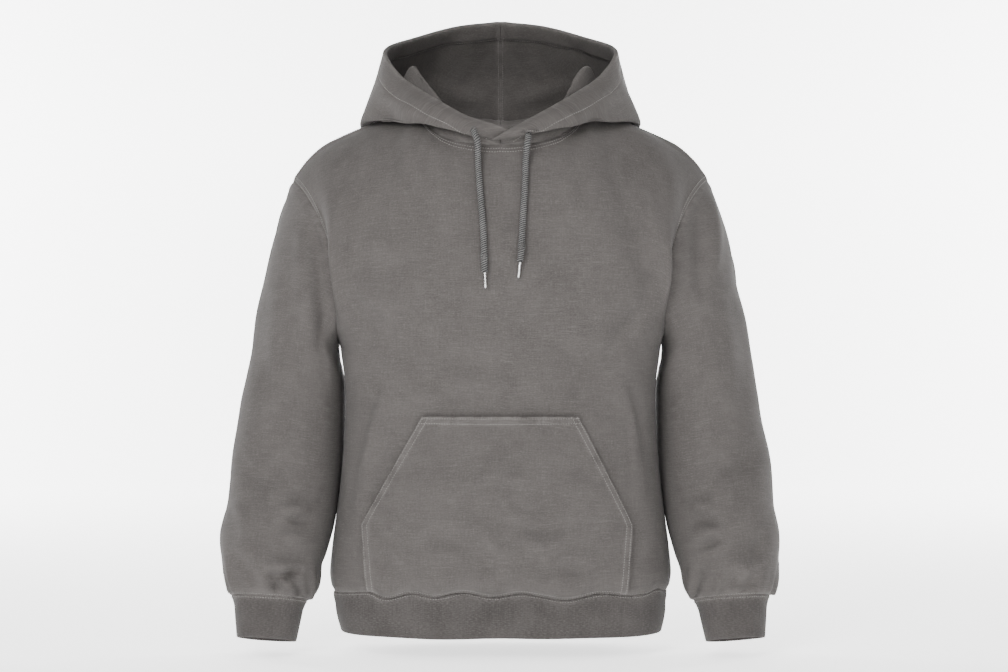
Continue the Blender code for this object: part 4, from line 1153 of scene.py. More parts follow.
HOOD_FOLDS = (
    Fold(Face.FRONT, 0.012, 0.0022, 0.0, ((-0.160, 0.010), (-0.130, -0.012), (-0.092, -0.030))),
    Fold(Face.FRONT, 0.010, -0.0020, 0.0, ((-0.168, -0.008), (-0.130, -0.028), (-0.100, -0.038))),
    Fold(Face.FRONT, 0.014, 0.0018, 0.0, ((0.158, 0.004), (0.120, -0.014), (0.086, -0.034))),
    Fold(Face.FRONT, 0.010, -0.0018, 0.0, ((0.166, -0.010), (0.128, -0.026), (0.100, -0.040))),
    Fold(Face.BACK, 0.016, -0.0040, 0.1, ((-0.120, -0.010), (-0.060, -0.040), (-0.010, -0.055))),
    Fold(Face.BACK, 0.016, -0.0040, -0.1, ((0.116, -0.004), (0.064, -0.036), (0.014, -0.050))),
    Fold(Face.BACK, 0.014, 0.0036, 0.0, ((-0.130, -0.040), (-0.070, -0.076), (-0.012, -0.090))),
    Fold(Face.BACK, 0.014, 0.0034, 0.0, ((0.126, -0.044), (0.066, -0.072), (0.012, -0.088))),
    Fold(Face.BACK, 0.012, -0.0030, 0.0, ((-0.100, 0.050), (-0.060, 0.030), (-0.016, 0.026))),
    Fold(Face.BACK, 0.012, -0.0030, 0.0, ((0.104, 0.046), (0.062, 0.034), (0.014, 0.022))),
)
POCKET_FOLDS = (
    Fold(Face.FRONT, 0.010, 0.0014, 0.2, ((-0.055, -0.500), (-0.010, -0.488), (0.045, -0.494))),
    Fold(Face.FRONT, 0.008, -0.0012, 0.0, ((-0.060, -0.512), (-0.012, -0.500), (0.030, -0.506))),
    Fold(Face.FRONT, 0.014, 0.0024, 0.2,
         ((-0.110, -0.560), (-0.070, -0.548), (-0.020, -0.562), (0.010, -0.596))),
    Fold(Face.FRONT, 0.012, -0.0024, 0.0,
         ((-0.120, -0.582), (-0.072, -0.568), (-0.034, -0.584), (-0.012, -0.612))),
    Fold(Face.FRONT, 0.010, 0.0018, 0.0, ((0.020, -0.560), (0.052, -0.574), (0.092, -0.566))),
    Fold(Face.FRONT, 0.008, -0.0016, 0.0, ((0.000, -0.548), (0.044, -0.558), (0.110, -0.545))),
    Fold(Face.FRONT, 0.011, 0.0020, 0.1, ((0.056, -0.606), (0.092, -0.590), (0.128, -0.598))),
    Fold(Face.FRONT, 0.008, -0.0018, 0.0, ((0.040, -0.622), (0.070, -0.606), (0.116, -0.612))),
    Fold(Face.FRONT, 0.009, 0.0016, 0.0, ((-0.150, -0.572), (-0.120, -0.600), (-0.100, -0.632))),
    Fold(Face.FRONT, 0.008, -0.0015, 0.0, ((0.010, -0.520), (0.040, -0.530), (0.064, -0.524))),
)
# How far the waist seam rises from level, in front, by place across.
WAIST_WAVE = (
    (-0.2200, -0.0015), (-0.1900, 0.0030), (-0.1674, 0.0044), (-0.1508, -0.0018), (-0.1127, 0.0052),
    (-0.0872, 0.0008), (-0.0465, 0.0070), (-0.0095, 0.0010), (0.0261, 0.0056), (0.0560, 0.0010), (0.0808, -0.0028),
    (0.1279, 0.0044), (0.1700, 0.0008), (0.1905, 0.0020), (0.2050, 0.0060), (0.2200, 0.0000),
)


# Room between each sleeve and the body's side, by height. Each takes its share of it, below.
SIDE_ROOM = (
    (-0.610, 0.0), (-0.560, 0.0016), (-0.520, 0.0016), (-0.478, 0.0036), (-0.437, 0.0066), (-0.402, 0.0098),
    (-0.372, 0.0142), (-0.350, 0.0156), (-0.335, 0.0120), (-0.322, 0.0050), (-0.312, 0.0),
)
SLEEVE_TAKES = 0.52
BODY_TAKES = 0.24


def side_room(heights: Array) -> Array:
    """The room between a sleeve and the body's side at heights."""
    stops = [row[0] for row in SIDE_ROOM]
    return np.interp(heights, stops, [row[1] for row in SIDE_ROOM])


def waist_rise(points: Array) -> Array:
    """How far the waist seam rises from level at points round the body."""
    stops = [row[0] for row in WAIST_WAVE]
    half = WAISTBAND[-1].half_width
    front = through(stops, [row[1] for row in WAIST_WAVE], np.clip(points[..., 0], -half, half).reshape(-1))
    back = ripple(points[..., 0], ((0.083, 0.0026, 0.9), (0.131, 0.0018, 2.3)))
    behind = eased(points[..., 1] / 0.04 + 0.5)
    return front.reshape(points.shape[:-1]) * (1 - behind) + (back + 0.002) * behind


# ---------------------------------------------------------------- sub-assemblies
@dataclass
class Finishes:
    """The materials of the garment, made once."""

    fleece: bpy.types.Material = field(default_factory=lambda: WashedFleece("washed fleece").make())
    rib: bpy.types.Material = field(default_factory=lambda: RibKnit("rib knit").make())
    tape: bpy.types.Material = field(default_factory=lambda: WovenTape("neck tape").make())
    thread: bpy.types.Material = field(
        default_factory=lambda: Spun("sewing thread", (0.104, 0.097, 0.092), (0.160, 0.151, 0.144)).make())
    light_yarn: bpy.types.Material = field(
        default_factory=lambda: Spun("light yarn", (0.092, 0.091, 0.089), (0.150, 0.148, 0.146)).make())
    dark_yarn: bpy.types.Material = field(
        default_factory=lambda: Spun("dark yarn", (0.017, 0.017, 0.017), (0.032, 0.031, 0.031)).make())
    middle_yarn: bpy.types.Material = field(
        default_factory=lambda: Spun("middle yarn", (0.046, 0.044, 0.043), (0.082, 0.080, 0.078)).make())
    # Painted shade: a near-black finish, made like yarn, for the flat sheet that stands for the shadow inside each
    # eyelet's slot.
    shadow: bpy.types.Material = field(
        default_factory=lambda: Spun("eyelet inside", (0.006, 0.006, 0.006), (0.011, 0.010, 0.010)).make())
    metal: bpy.types.Material = field(default_factory=lambda: BrightMetal("bright metal").make())


@dataclass
class Body:
    """Front, back and waistband, with their seams.

    Attributes:
        finishes: The garment's materials.
        columns: Points across each panel.
        rows: Points up each panel.
        ribs: Ribs round the waistband.
        points_a_rib: Points across each of them.
        band_rows: Points up the waistband.
        thread: The sewing.
    """

    finishes: Finishes
    columns: int = 171
    rows: int = 150
    ribs: int = 352
    points_a_rib: int = 4
    band_rows: int = 15
    thread: Thread = Thread()

    def panel(self, name: str, facing: int, folds: Sequence[Fold]) -> bpy.types.Object:
        """Makes the front or the back.

        Args:
            name: The piece's name.
            facing: +1 for the front, -1 for the back.
            folds: Its folds.

        Returns:
            Its piece.
        """
        grid = relaxed(panel_grid(facing, self.columns, self.rows), PANEL_EASINGS)
        beside = eased((np.abs(grid[..., 0]) - 0.145) / 0.055)
        grid[..., 0] += np.sign(grid[..., 0]) * BODY_TAKES * side_room(grid[..., 2]) * beside
        cloth = Cloth(f"{name}_cloth", grid.copy(), flip=facing < 0)
        hang = np.exp(-((run_lengths(grid, 0) / 0.030) ** 2))
        cloth.grid[..., 2] += waist_rise(grid[:1]) * hang
        cloth.turn_outwards()
        up, across = cloth.from_edge("low"), run_lengths(grid, 1)
        puckers = ripple(across, ((0.034, 0.0011, 0.3), (0.053, 0.0014, 1.7), (0.079, 0.0012, 4.0)))
        sway = ripple(across + 0.35 * grid[..., 2], ((0.171, 0.0012, 0.7), (0.113, 0.0008, 2.1)))
        sway = sway + ripple(grid[..., 2] - 0.3 * across, ((0.143, 0.0010, 1.1), (0.091, 0.0006, 3.0)))
        puckers = puckers * np.exp(-((up - 0.010) / 0.040) ** 2)
        heights = fold_heights(grid, cloth.normals, folds) + puckers + sway
        edges = np.minimum(cloth.from_edge("first"), cloth.from_edge("last"))
        calm = eased(edges / 0.012) * eased(cloth.from_edge("high") / 0.010) * eased(up / 0.006)
        calm = calm * (1 - 0.9 * beside * eased((-0.322 - grid[..., 2]) / 0.02))
        if facing > 0:
            under = eased((0.172 - np.abs(grid[..., 0])) / 0.01) * eased((-0.405 - grid[..., 2]) / 0.01)
            corded = eased((0.070 - np.abs(grid[..., 0])) / 0.025) * eased((grid[..., 2] + 0.275) / 0.03)
            calm = calm * (1 - 0.75 * under) * (1 - 0.85 * corded)
        cloth.lift(heights * calm)
        shoulder, armhole = 0.5 - NECK_STEPS / SIDE_STEPS / 2, TORSO_STEPS / (TORSO_STEPS + ARMHOLE_STEPS)
        cloth.seam("low")
        for edge in ("first", "last"):
            cloth.seam(edge, 0.0, armhole, 0.0014)
            cloth.seam(edge, armhole, 1.0, 0.0013)
        cloth.seam("high")
        thread, rows = self.thread, []
        for edge in ("first", "last"):
            rows += [cloth.line(edge, distance, armhole + 0.01, 1.0) for distance in (0.0022, 0.0072)]
        neck = (shoulder, 1 - shoulder)
        neck_rows = (0.0068, 0.0112) if facing > 0 else (0.004, 0.0085)
        rows += [cloth.line("high", distance, *neck) for distance in neck_rows]
        rows += [cloth.line("low", 0.0018)]
        for start, end in ((0.0, shoulder), (1 - shoulder, 1.0)):
            rows += [cloth.line("high", 0.0022, start, end)]
        piece = cloth.build(self.finishes.fleece)
        declare(piece, "fleece", name)
        thread.sew(f"{name}_stitches", "fleece", self.finishes.thread, rows)
        return piece

    def band(self) -> bpy.types.Object:
        """Makes the ribbed waistband, folded at its lower edge."""
        columns, rows = self.ribs * self.points_a_rib, self.band_rows
        dense = np.linspace(-math.pi, math.pi, 1441)
        outline = ring_points(WAISTBAND, dense, np.full(len(dense), WAISTBAND[1].z))
        run = np.concatenate([[0.0], np.cumsum(np.linalg.norm(np.diff(outline, axis=0), axis=1))])
        angles = np.interp((np.arange(columns) + 0.5) / columns * run[-1], run, dense)
        heights = np.linspace(WAISTBAND[0].z, WAISTBAND[-1].z, rows)
        grid = np.stack([ring_points(WAISTBAND, angles, np.full(columns, z)) for z in heights])
        rise = waist_rise(grid[-1:])
        grid[..., 2] += rise * np.linspace(0, 1, rows)[:, None] ** 1.3
        hem = ripple(grid[:1, :, 0], ((0.210, 0.0007, 0.4), (0.127, 0.0004, 2.0)))
        grid[..., 2] += hem * np.linspace(1, 0, rows)[:, None]
        cloth = Cloth("waistband_knit", grid, BAND_WALL, around=True)
        place = np.arange(columns)[None, :] * (run[-1] / columns)
        share = np.linspace(0, 1, rows)[:, None]
        wales = np.cos(2 * math.pi * np.arange(columns) / self.points_a_rib)[None, :]
        ribs = 0.00012 * wales * np.sin(math.pi * np.clip(share * 0.96 + 0.02, 0, 1)) ** 0.3
        gather = ripple(place, ((0.031, 0.0006, 0.4), (0.047, 0.0009, 1.9), (0.088, 0.0010, 0.3))) * share**2
        bulge, slack = 0.0016 * np.sin(math.pi * share), ripple(place, ((0.19, 0.0012, 1.0),))
        cloth.lift(ribs + gather + bulge + slack * (1 - share))
        cloth.seam("high")
        stitches = [cloth.line("high", 0.0026)]
        piece = declare(cloth.build(self.finishes.rib), "rib", "waistband")
        self.thread.sew("waistband_stitches", "rib", self.finishes.thread, stitches)
        return piece

    def build(self) -> None:
        """Makes the three pieces and says what they were cut from."""
        front = self.panel("front_panel", +1, FRONT_FOLDS)
        back = self.panel("back_panel", -1, BACK_FOLDS)
        band = self.band()


@dataclass
class Arm:
    """One sleeve and its cuff."""

    finishes: Finishes
    side: int
    columns: int = 124
    rows: int = 170
    ribs: int = 66
    thread: Thread = Thread()

    @property
    def word(self) -> str:
        """The side's name."""
        return "left" if self.side > 0 else "right"

    def sleeve(self) -> bpy.types.Object:
        """Makes the sleeve, which puckers into its cuff."""
        grid = relaxed(sleeve_grid(self.side, self.columns, self.rows), SLEEVE_EASINGS, True)
        cloth = Cloth(f"sleeve_{self.word}_cloth", grid, around=True, flip=self.side < 0, centre=0.25)
        inner = eased((-self.side * cloth.normals[..., 0] - 0.15) / 0.6)
        cloth.grid[..., 0] -= self.side * SLEEVE_TAKES * side_room(cloth.grid[..., 2]) * inner
        cloth.turn_outwards()
        place, up = run_lengths(cloth.grid, 1), cloth.from_edge("high")
        waves = ((0.027, 0.0016, 0.5 + self.side), (0.041, 0.0018, 2.0), (0.067, 0.0016, 3.1 * self.side))
        puckers = ripple(place, waves) * np.exp(-((up - 0.012) / 0.030) ** 2)
        sway = ripple(cloth.grid[..., 2] + 0.4 * place, ((0.162, 0.0012, self.side), (0.094, 0.0008, 1.4)))
        calm = eased(up / 0.005) * eased(cloth.from_edge("low") / 0.016)
        calm = calm * (1 - 0.95 * inner * eased((cloth.grid[..., 2] + 0.615) / 0.02))
        cloth.lift((fold_heights(cloth.grid, cloth.normals, sleeve_folds(self.side)) + puckers + sway) * calm)
        cloth.seam("high")
        cloth.seam("low", depth=0.0014)
        rows = [cloth.line("high", 0.0020)]
        piece = declare(cloth.build(self.finishes.fleece), "fleece", f"sleeve_{self.word}")
        self.thread.sew(f"sleeve_{self.word}_stitches", "fleece", self.finishes.thread, rows)
        return piece

    def cuff(self) -> bpy.types.Object:
        """Makes the ribbed cuff."""
        columns, rows = self.ribs * 6, 24
        grid = tube_grid(CUFF, self.side, columns, rows)
        share, turn = np.linspace(0, 1, rows)[:, None], 2 * math.pi * np.arange(columns)[None, :] / columns
        cloth = Cloth(f"cuff_{self.word}_knit", grid, CUFF_WALL, around=True, flip=self.side < 0, centre=0.25)
        ribs = 0.00014 * np.cos(self.ribs * turn) * eased(share / 0.05) * eased((1 - share) / 0.04)
        bulge = 0.0016 * np.sin(math.pi * share) + 0.0009 * np.sin(3 * turn + self.side) * share
        cloth.lift(ribs + bulge)
        cloth.seam("low")
        rows_sewn = [cloth.line("low", 0.0030)]
        piece = declare(cloth.build(self.finishes.rib), "rib", f"cuff_{self.word}")
        self.thread.sew(f"cuff_{self.word}_stitches", "rib", self.finishes.thread, rows_sewn)
        return piece

    def build(self) -> None:
        """Makes both pieces and says what they were cut from."""
        sleeve, cuff = self.sleeve(), self.cuff()


def eyelet_place(word: str) -> tuple[Array, Array]:
    """Where a cord leaves the casing, and which way the cloth faces there."""
    side = 1 if word == "left" else -1
    grid = relaxed(hood_grid(side, Hood.columns, Hood.rows), HOOD_EASINGS)
    cloth = Cloth("casing", grid, flip=side < 0)
    start = Drawcord.ROUTES[word][0]
    points = cloth.grid.reshape(-1, 3)
    near = int(np.argmin(np.linalg.norm(points - (start[0], Drawcord.EYELET_Y, start[1]), axis=1)))
    return points[near], cloth.normals.reshape(-1, 3)[near]


@dataclass
class Hood:
    """Both halves of the hood, lying back off the head, with its casing and eyelets."""

    finishes: Finishes
    columns: int = 110
    rows: int = 140
    casing: float = 0.028
    thread: Thread = Thread()

    def half(self, side: int) -> bpy.types.Object:
        """Makes one half: +1 is the left, which laps over."""
        word = "left" if side > 0 else "right"
        grid = relaxed(hood_grid(side, self.columns, self.rows), HOOD_EASINGS)
        cloth = Cloth(f"hood_{word}_cloth", grid, flip=side < 0)
        edges = np.minimum(cloth.from_edge("first"), cloth.from_edge("last"))
        ends = np.minimum(cloth.from_edge("low"), cloth.from_edge("high"))
        calm = eased(edges / 0.020) * eased((ends - 0.004) / 0.022)
        sway = ripple(run_lengths(cloth.grid, 1) + 0.3 * run_lengths(cloth.grid, 0),
                      ((0.118, 0.0012, side), (0.071, 0.0007, 2.0 * side)))
        cloth.lift((fold_heights(cloth.grid, cloth.normals, HOOD_FOLDS) + sway) * calm)
        lip = cloth.from_edge("high")
        inside = eased((self.casing - lip) / 0.004)
        groove = np.exp(-(((lip - self.casing) / 0.0018) ** 2))
        cloth.wall = CLOTH + (0.0034 * inside * eased(cloth.from_edge("first") / 0.03) - 0.0005 * groove)
        cloth.lift(-0.0006 * groove)
        cloth.wear += 0.5 * np.exp(-((lip / 0.004) ** 2)) + 0.3 * groove
        cloth.seam("last")
        cloth.seam("low", depth=0.0005)
        rows = [cloth.line("high", self.casing, 0.04, 1.0, inner) for inner in (False, True)]
        rows += [cloth.line("last", 0.0032, 0.04, 0.96, inner) for inner in (False, True)]
        piece = declare(cloth.build(self.finishes.fleece), "fleece", f"hood_{word}")
        self.thread.sew(f"hood_{word}_stitches", "fleece", self.finishes.thread, rows)
        self.eyelet(word)
        return piece

    def eyelet(self, word: str) -> None:
        """Sews a slit where a cord leaves the casing: satin stitches round a patch of painted shade."""
        middle, out = eyelet_place(word)
        across = unit(np.cross(out, np.array([0.0, 0.0, 1.0])))
        up = np.cross(across, out)
        turns = np.linspace(0, 2 * math.pi, 41)
        ring = [middle + across * 0.0034 * math.cos(t) + up * 0.0046 * math.sin(t) + out * 0.0003
                for t in turns]
        verts, faces = tube(np.array(ring), 0.0009, 8)
        mesh = bpy.data.meshes.new(f"eyelet_{word}")
        mesh.from_pydata(verts.tolist(), [], faces)
        mesh.materials.append(self.finishes.middle_yarn)
        mesh.shade_smooth()
        declare(add(f"eyelet_{word}", mesh), "fleece")
        # Painted shade: a flat sheet coloured near black stands for the shadow inside the slot.
        disc = [middle + across * 0.0030 * math.cos(t) + up * 0.0042 * math.sin(t) + out * 0.0002
                for t in turns[:-1]]
        slot = bpy.data.meshes.new(f"eyelet_{word}_slot")
        slot.from_pydata([tuple(p) for p in disc], [], [tuple(range(40))])
        slot.materials.append(self.finishes.shadow)
        declare(add(f"eyelet_{word}_slot", slot), "fleece")

    def build(self) -> None:
        """Makes both halves and says what they were cut from."""
        for side in (1, -1):
            piece = self.half(side)


class PocketRow(NamedTuple):
    """The pocket at one height: its edges and how far it stands off the front."""

    z: float
    right: float
    left: float
    stand_off: float


@dataclass
class Pocket:
    """The kangaroo pocket, topstitched round, with its two slanted hand openings."""

    finishes: Finishes
    columns: int = 170
    rows: int = 130
    thread: Thread = Thread(length=0.0026, pitch=0.0033)
    table: tuple[PocketRow, ...] = (
        PocketRow(-0.6425, -0.1715, 0.1625, 0.0012), PocketRow(-0.620, -0.1740, 0.1650, 0.0050),
        PocketRow(-0.590, -0.1760, 0.1670, 0.0085), PocketRow(-0.552, -0.1785, 0.1697, 0.0105),
        PocketRow(-0.517, -0.1590, 0.1523, 0.0110), PocketRow(-0.482, -0.1392, 0.1347, 0.0100),
        PocketRow(-0.447, -0.1193, 0.1171, 0.0065), PocketRow(-0.413, -0.1000, 0.0995, 0.0012),
    )

    def grid(self) -> Array:
        """The pocket's outer face, before its folds."""
        stops = [row.z for row in self.table]
        heights = np.linspace(stops[0], stops[-1], self.rows)
        right, left = (np.interp(heights, stops, [row[i] for row in self.table]) for i in (1, 2))
        off = through(stops, [row.stand_off for row in self.table], heights)
        share = np.linspace(0, 1, self.columns)
        x = right[:, None] + (left - right)[:, None] * share
        z = heights[:, None] * np.ones_like(x)
        crown = np.sin(math.pi * share)[None, :] ** np.where(heights > -0.545, 0.5, 0.8)[:, None]
        lift = CLOTH + 0.0021 + off[:, None] * (0.25 + 0.75 * crown)
        y = front_y(x.reshape(-1), z.reshape(-1)).reshape(x.shape) - lift
        return np.stack([x, y, z], axis=-1)

    def build(self) -> None:
        """Makes the pocket, its stitches and its declaration."""
        cloth = Cloth("pocket_cloth", self.grid())
        hang = np.exp(-((run_lengths(cloth.grid, 0) / 0.030) ** 2))
        cloth.grid[..., 2] += waist_rise(cloth.grid[:1]) * hang
        cloth.turn_outwards()
        side = np.minimum(cloth.from_edge("first"), cloth.from_edge("last"))
        edge = np.minimum(side, cloth.from_edge("high"))
        calm = eased((edge - 0.006) / 0.022) * eased(cloth.from_edge("low") / 0.008)
        slant = cloth.grid[..., 0] + 0.5 * cloth.grid[..., 2]
        sway = ripple(slant, ((0.124, 0.0010, 0.6), (0.077, 0.0006, 2.4)))
        strip = eased((0.0098 - edge) / 0.0016)
        course = cloth.grid[..., 2] + 0.45 * np.abs(cloth.grid[..., 0])
        pulled = ripple(course, ((0.0061, 0.00022, 0.4), (0.0089, 0.00018, 2.2)))
        pulled = pulled + ripple(cloth.grid[..., 0], ((0.0068, 0.00018, 1.1),))
        strip = strip * (0.0008 + pulled * np.sin(math.pi * np.clip(edge / 0.0098, 0, 1)))
        cloth.lift((fold_heights(cloth.grid, cloth.normals, POCKET_FOLDS) + sway) * calm + strip)
        cloth.wear += 0.8 * np.exp(-((edge / 0.0022) ** 2)) + 0.35 * np.exp(-(((edge - 0.0100) / 0.002) ** 2))
        cloth.wear += 0.30 * eased((0.0100 - edge) / 0.001)
        cloth.seam("low")
        rows = [cloth.line(name, distance)
                for name in ("first", "last", "high") for distance in (0.0022, 0.0092)]
        rows.append(cloth.line("low", 0.0022))
        piece = declare(cloth.build(self.finishes.fleece), "fleece", "pocket")
        self.thread.sew("pocket_stitches", "fleece", self.finishes.thread, rows)


def tape_grid(columns: int) -> Array:
    """The neck tape's outer face, along the top of the back panel inside it."""
    back = Cloth("neck", panel_grid(-1, Body.columns, 400), flip=True)
    low, high = 0.5 - 0.5 * 3 / SIDE_STEPS, 0.5 + 0.5 * 3 / SIDE_STEPS
    lines = [back.line("high", distance, low, high) for distance in (0.0115, 0.0090, 0.0065, 0.0040, 0.0012)]
    grid = np.stack([line[:, :3] - line[:, 3:] * (CLOTH + 0.0008) for line in lines])
    share = np.linspace(0, 1, grid.shape[1])
    places = np.linspace(0, 1, columns)
    rows = [[np.interp(places, share, row[:, k]) for k in range(3)] for row in grid]
    return np.stack([np.stack(row, axis=-1) for row in rows])


@dataclass
class NeckTape:
    """The woven tape that covers the back of the neck seam."""

    finishes: Finishes

    def build(self) -> None:
        """Makes the tape."""
        cloth = Cloth("neck_tape_cloth", tape_grid(90), 0.0010, flip=True, rim=3)
        piece = declare(cloth.build(self.finishes.tape), "tape", "neck_tape")


# ---------------------------------------------------------------- cords
def tube(points: Array, radius: float, sides: int) -> tuple[Array, list[tuple[int, ...]]]:
    """A round tube with closed ends.

    Args:
        points: Its centreline.
        radius: Its radius.
        sides: Points round it.

    Returns:
        Vertices and faces.
    """
    ways = unit(np.gradient(points, axis=0))
    spoke = unit(np.cross(ways[0], (0.31, 0.17, 0.93)))
    rings, turns = [], 2 * math.pi * np.arange(sides) / sides
    for point, way in zip(points, ways):
        spoke = unit(spoke - way * (spoke @ way))
        other = np.cross(way, spoke)
        rings.append(point + radius * (np.cos(turns)[:, None] * spoke + np.sin(turns)[:, None] * other))
    index = np.arange(len(points) * sides).reshape(len(points), sides)
    beside = np.roll(index, -1, 1)
    faces = np.stack([index[:-1], beside[:-1], beside[1:], index[1:]], axis=-1).reshape(-1, 4).tolist()
    faces += [index[0][::-1].tolist(), index[-1].tolist()]
    return np.concatenate(rings), faces


def joined(name: str, parts: Sequence[tuple[Array, list]], material: bpy.types.Material) -> bpy.types.Object:
    """One smooth object from several sets of vertices and faces."""
    verts, faces, start = [], [], 0
    for points, found in parts:
        verts += points.tolist()
        faces += [[i + start for i in face] for face in found]
        start += len(points)
    mesh = bpy.data.meshes.new(name)
    mesh.from_pydata(verts, [], faces)
    mesh.materials.append(material)
    mesh.shade_smooth()
    return add(name, mesh)


@dataclass
class Drawcord:
    """One hanging drawcord: a braid over its core, a knot near the end and a metal tip."""

    EYELET_Y = -0.1150
    ROUTES = {
        "right": ((-0.0355, -0.0475), (-0.0318, -0.0525), (-0.0295, -0.0610), (-0.0287, -0.0740), (-0.0284, -0.0880),
                  (-0.0270, -0.1100), (-0.0248, -0.1360), (-0.0228, -0.1600), (-0.0213, -0.1820), (-0.0208, -0.2000),
                  (-0.0202, -0.2160), (-0.0197, -0.2280)),
        "left": ((0.0368, -0.0565), (0.0352, -0.0615), (0.0336, -0.0700), (0.0325, -0.0830), (0.0320, -0.1000),
                 (0.0310, -0.1225), (0.0297, -0.1430), (0.0286, -0.1610), (0.0277, -0.1780), (0.0270, -0.1930),
                 (0.0262, -0.2060), (0.0252, -0.2150)),
    }
    finishes: Finishes
    word: str
    chest: Array
    radius: float = 0.0037
    rest: float = 0.0012
    knot_rise: float = 0.019
    knot_radius: float = 0.0068
    pitch: float = 0.0084
    carriers: int = 3

    def chest_y(self, x: float, z: float) -> float:
        """How far forward the chest lies."""
        across = [np.interp(x, row[:, 0], row[:, 1]) for row in self.chest]
        heights = [np.interp(x, row[:, 0], row[:, 2]) for row in self.chest]
        return float(np.interp(z, heights, across))

    def route(self) -> Array:
        """The core's centreline."""
        marks = np.array(self.ROUTES[self.word])
        flat = along(marks, np.linspace(0, 1, 64))
        knot_z = marks[-1, 1] + self.knot_rise
        points = []
        for x, z in flat:
            knot = math.exp(-(((z - knot_z) / 0.0275) ** 2))
            off = self.rest + self.radius + (self.knot_radius - self.radius) * knot
            rest = self.chest_y(x, min(z, -0.080)) - off
            points.append((x, rest + (self.EYELET_Y - rest) * float(eased((z + 0.105) / 0.045)), z))
        hole, out = eyelet_place(self.word)
        marks = np.concatenate([[hole + out * 0.0008], np.array(points)[5:]])
        return along(marks, np.linspace(0, 1, 72))

    def braid(self, route: Array, offset: float) -> list[tuple[Array, list]]:
        """The strands of one colour, wound round the core from a share of a strand's spacing."""
        run = np.concatenate([[0.0], np.cumsum(np.linalg.norm(np.diff(route, axis=0), axis=1))])
        places = np.arange(0.0, run[-1], 0.0008)
        centre = np.stack([np.interp(places, run, route[:, k]) for k in range(3)], axis=1)
        ways = unit(np.gradient(centre, axis=0))
        first = unit(np.cross(ways, (0.0, -1.0, 0.0)))
        second = np.cross(ways, first)
        strands = []
        for number in range(self.carriers):
            turn = 2 * math.pi * (places / self.pitch + (number + offset) / self.carriers)
            line = centre + 0.0034 * (np.cos(turn)[:, None] * first + np.sin(turn)[:, None] * second)
            strands.append(tube(line, 0.00095, 6))
        return strands

    def knot(self, middle: Array) -> list[tuple[Array, list]]:
        """An overhand knot pulled tight."""
        t = np.linspace(0, 2 * math.pi, 97)
        x, y = np.sin(t) + 2 * np.sin(2 * t), np.cos(t) - 2 * np.cos(2 * t)
        line = np.stack([x * 0.00105, y * 0.00095, -np.sin(3 * t) * 0.0034], axis=1)
        return [tube(middle + line, 0.0023, 10)]

    def tip(self, end: Array, way: Array) -> list[tuple[Array, list]]:
        """A turned metal tip, crimped on at its top."""
        profile = ((0.0, 0.0013), (0.0005, 0.0018), (0.0020, 0.0019), (0.0027, 0.0015), (0.0034, 0.0018),
                   (0.0150, 0.0017), (0.0185, 0.0015), (0.0202, 0.0010), (0.0208, 0.0003))
        side = unit(np.cross(way, (0.0, 1.0, 0.2)))
        other, turns = np.cross(way, side), 2 * math.pi * np.arange(20) / 20
        spokes = np.cos(turns)[:, None] * side + np.sin(turns)[:, None] * other
        rings = [end + way * s + r * spokes for s, r in profile]
        index = np.arange(len(profile) * 20).reshape(-1, 20)
        beside = np.roll(index, -1, 1)
        faces = np.stack([index[:-1], beside[:-1], beside[1:], index[1:]], axis=-1).reshape(-1, 4).tolist()
        faces += [index[0][::-1].tolist(), index[-1].tolist()]
        return [(np.concatenate(rings), faces)]

    def build(self) -> None:
        """Makes the cord, what is on it, and its declaration."""
        route = self.route()
        data = bpy.data.curves.new(f"cord_{self.word}", "CURVE")
        data.dimensions, data.use_fill_caps = "3D", True
        data.bevel_depth, data.bevel_resolution = self.radius, 3
        spline = data.splines.new("POLY")
        spline.points.add(len(route) - 1)
        for point, place in zip(spline.points, route):
            point.co = (*place, 1.0)
        data.materials.append(self.finishes.dark_yarn)
        core = declare(add(f"cord_{self.word}", data), "cord", f"drawcord_{self.word}")
        light = declare(joined(f"braid_light_{self.word}", self.braid(route, 0.0), self.finishes.light_yarn),
                        "cord")
        dark = declare(joined(f"braid_dark_{self.word}", self.braid(route, 0.5), self.finishes.dark_yarn),
                       "cord")
        knot_z = self.ROUTES[self.word][-1][1] + self.knot_rise
        middle = np.array([np.interp(-knot_z, -route[:, 2], route[:, k]) for k in range(3)])
        knot = declare(joined(f"tied_knot_{self.word}", self.knot(middle), self.finishes.middle_yarn),
                       "cord", f"knot_{self.word}")
        way = unit(route[-1] - route[-2])
        turned = self.tip(route[-1] + way * 0.0004, way)
        tip = declare(joined(f"metal_tip_{self.word}", turned, self.finishes.metal), "metal", f"tip_{self.word}")


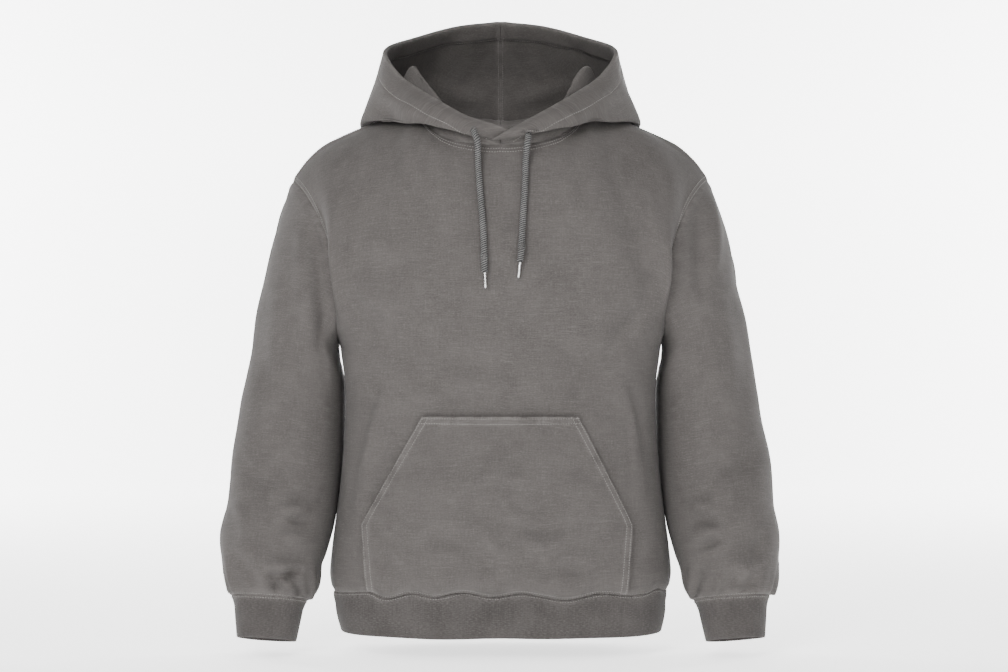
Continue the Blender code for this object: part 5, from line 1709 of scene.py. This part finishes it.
# ---------------------------------------------------------------- studio
@dataclass
class Studio:
    """Camera, soft lights and a pale sweep that the garment stands before."""

    floor_z: float = -0.7260
    camera_place: tuple[float, float, float] = (0.00465, -2.75, -0.3097)
    lens: float = 73.9

    def camera(self) -> None:
        """Places the level camera in front."""
        data = bpy.data.cameras.new("camera")
        data.sensor_width, data.lens, data.dof.use_dof = 36.0, self.lens, False
        obj = add("camera", data)
        obj.location, obj.rotation_euler = self.camera_place, (math.pi / 2, 0.0, 0.0)
        bpy.context.scene.camera = obj

    def light(self, name: str, place: tuple[float, float, float], aim: tuple[float, float, float],
              size: float, power_watts: float) -> None:
        """Adds a large soft light that faces a point."""
        data = bpy.data.lights.new(name, "AREA")
        data.shape, data.size, data.energy = "SQUARE", size, power_watts
        obj = add(name, data)
        obj.location = place
        obj.rotation_euler = (Vector(aim) - Vector(place)).to_track_quat("-Z", "Y").to_euler()

    def sweep(self) -> None:
        """Makes the floor, which curves up into a wall behind."""
        curve = np.linspace(0.1, math.pi / 2, 16)
        profile = [(-2.2, self.floor_z), (2.8, self.floor_z)]
        profile += [(2.8 + math.sin(t), self.floor_z + 1 - math.cos(t)) for t in curve]
        profile.append((3.8, 3.5))
        verts = [(x, y, z) for x in (-2.8, 2.8) for y, z in profile]
        count = len(profile)
        faces = [(i, i + count, i + count + 1, i + 1) for i in range(count - 1)]
        mesh = bpy.data.meshes.new("sweep")
        mesh.from_pydata(verts, [], faces)
        mesh.materials.append(PlainFloor("pale floor").make())
        mesh.shade_smooth()
        add("sweep", mesh)

    def build(self) -> None:
        """Makes all of it."""
        self.camera()
        self.sweep()
        middle = (0.0, 0.0, -0.30)
        self.light("key", (-1.0, -2.5, 0.85), middle, 1.2, 84.0)
        self.light("fill", (0.5, -3.0, -0.15), middle, 1.2, 46.0)
        self.light("top", (0.1, -0.8, 2.0), (0.0, -0.05, -0.2), 1.4, 22.0)
        for side, word in ((-1, "right"), (1, "left")):
            self.light(f"wall_{word}", (side * 3.0, 2.0, 0.6), (side * 0.4, 3.8, -0.1), 1.6, 320.0)
        world = bpy.data.worlds.new("studio")
        world.use_nodes = True
        background = world.node_tree.nodes["Background"]
        background.inputs["Color"].default_value = (1.0, 1.0, 1.0, 1.0)
        background.inputs["Strength"].default_value = 0.24
        bpy.context.scene.world = world


def main() -> None:
    """Builds the studio and the garment."""
    logging.basicConfig(level=logging.INFO, format="%(name)s: %(message)s")
    Studio().build()
    finishes = Finishes()
    chest = panel_grid(1, 61, 161)[70:]
    for word in ("right", "left"):
        Drawcord(finishes, word, chest).build()
    Body(finishes).build()
    for side in (1, -1):
        Arm(finishes, side).build()
    Hood(finishes).build()
    Pocket(finishes).build()
    NeckTape(finishes).build()


if __name__ == "__main__":
    main()
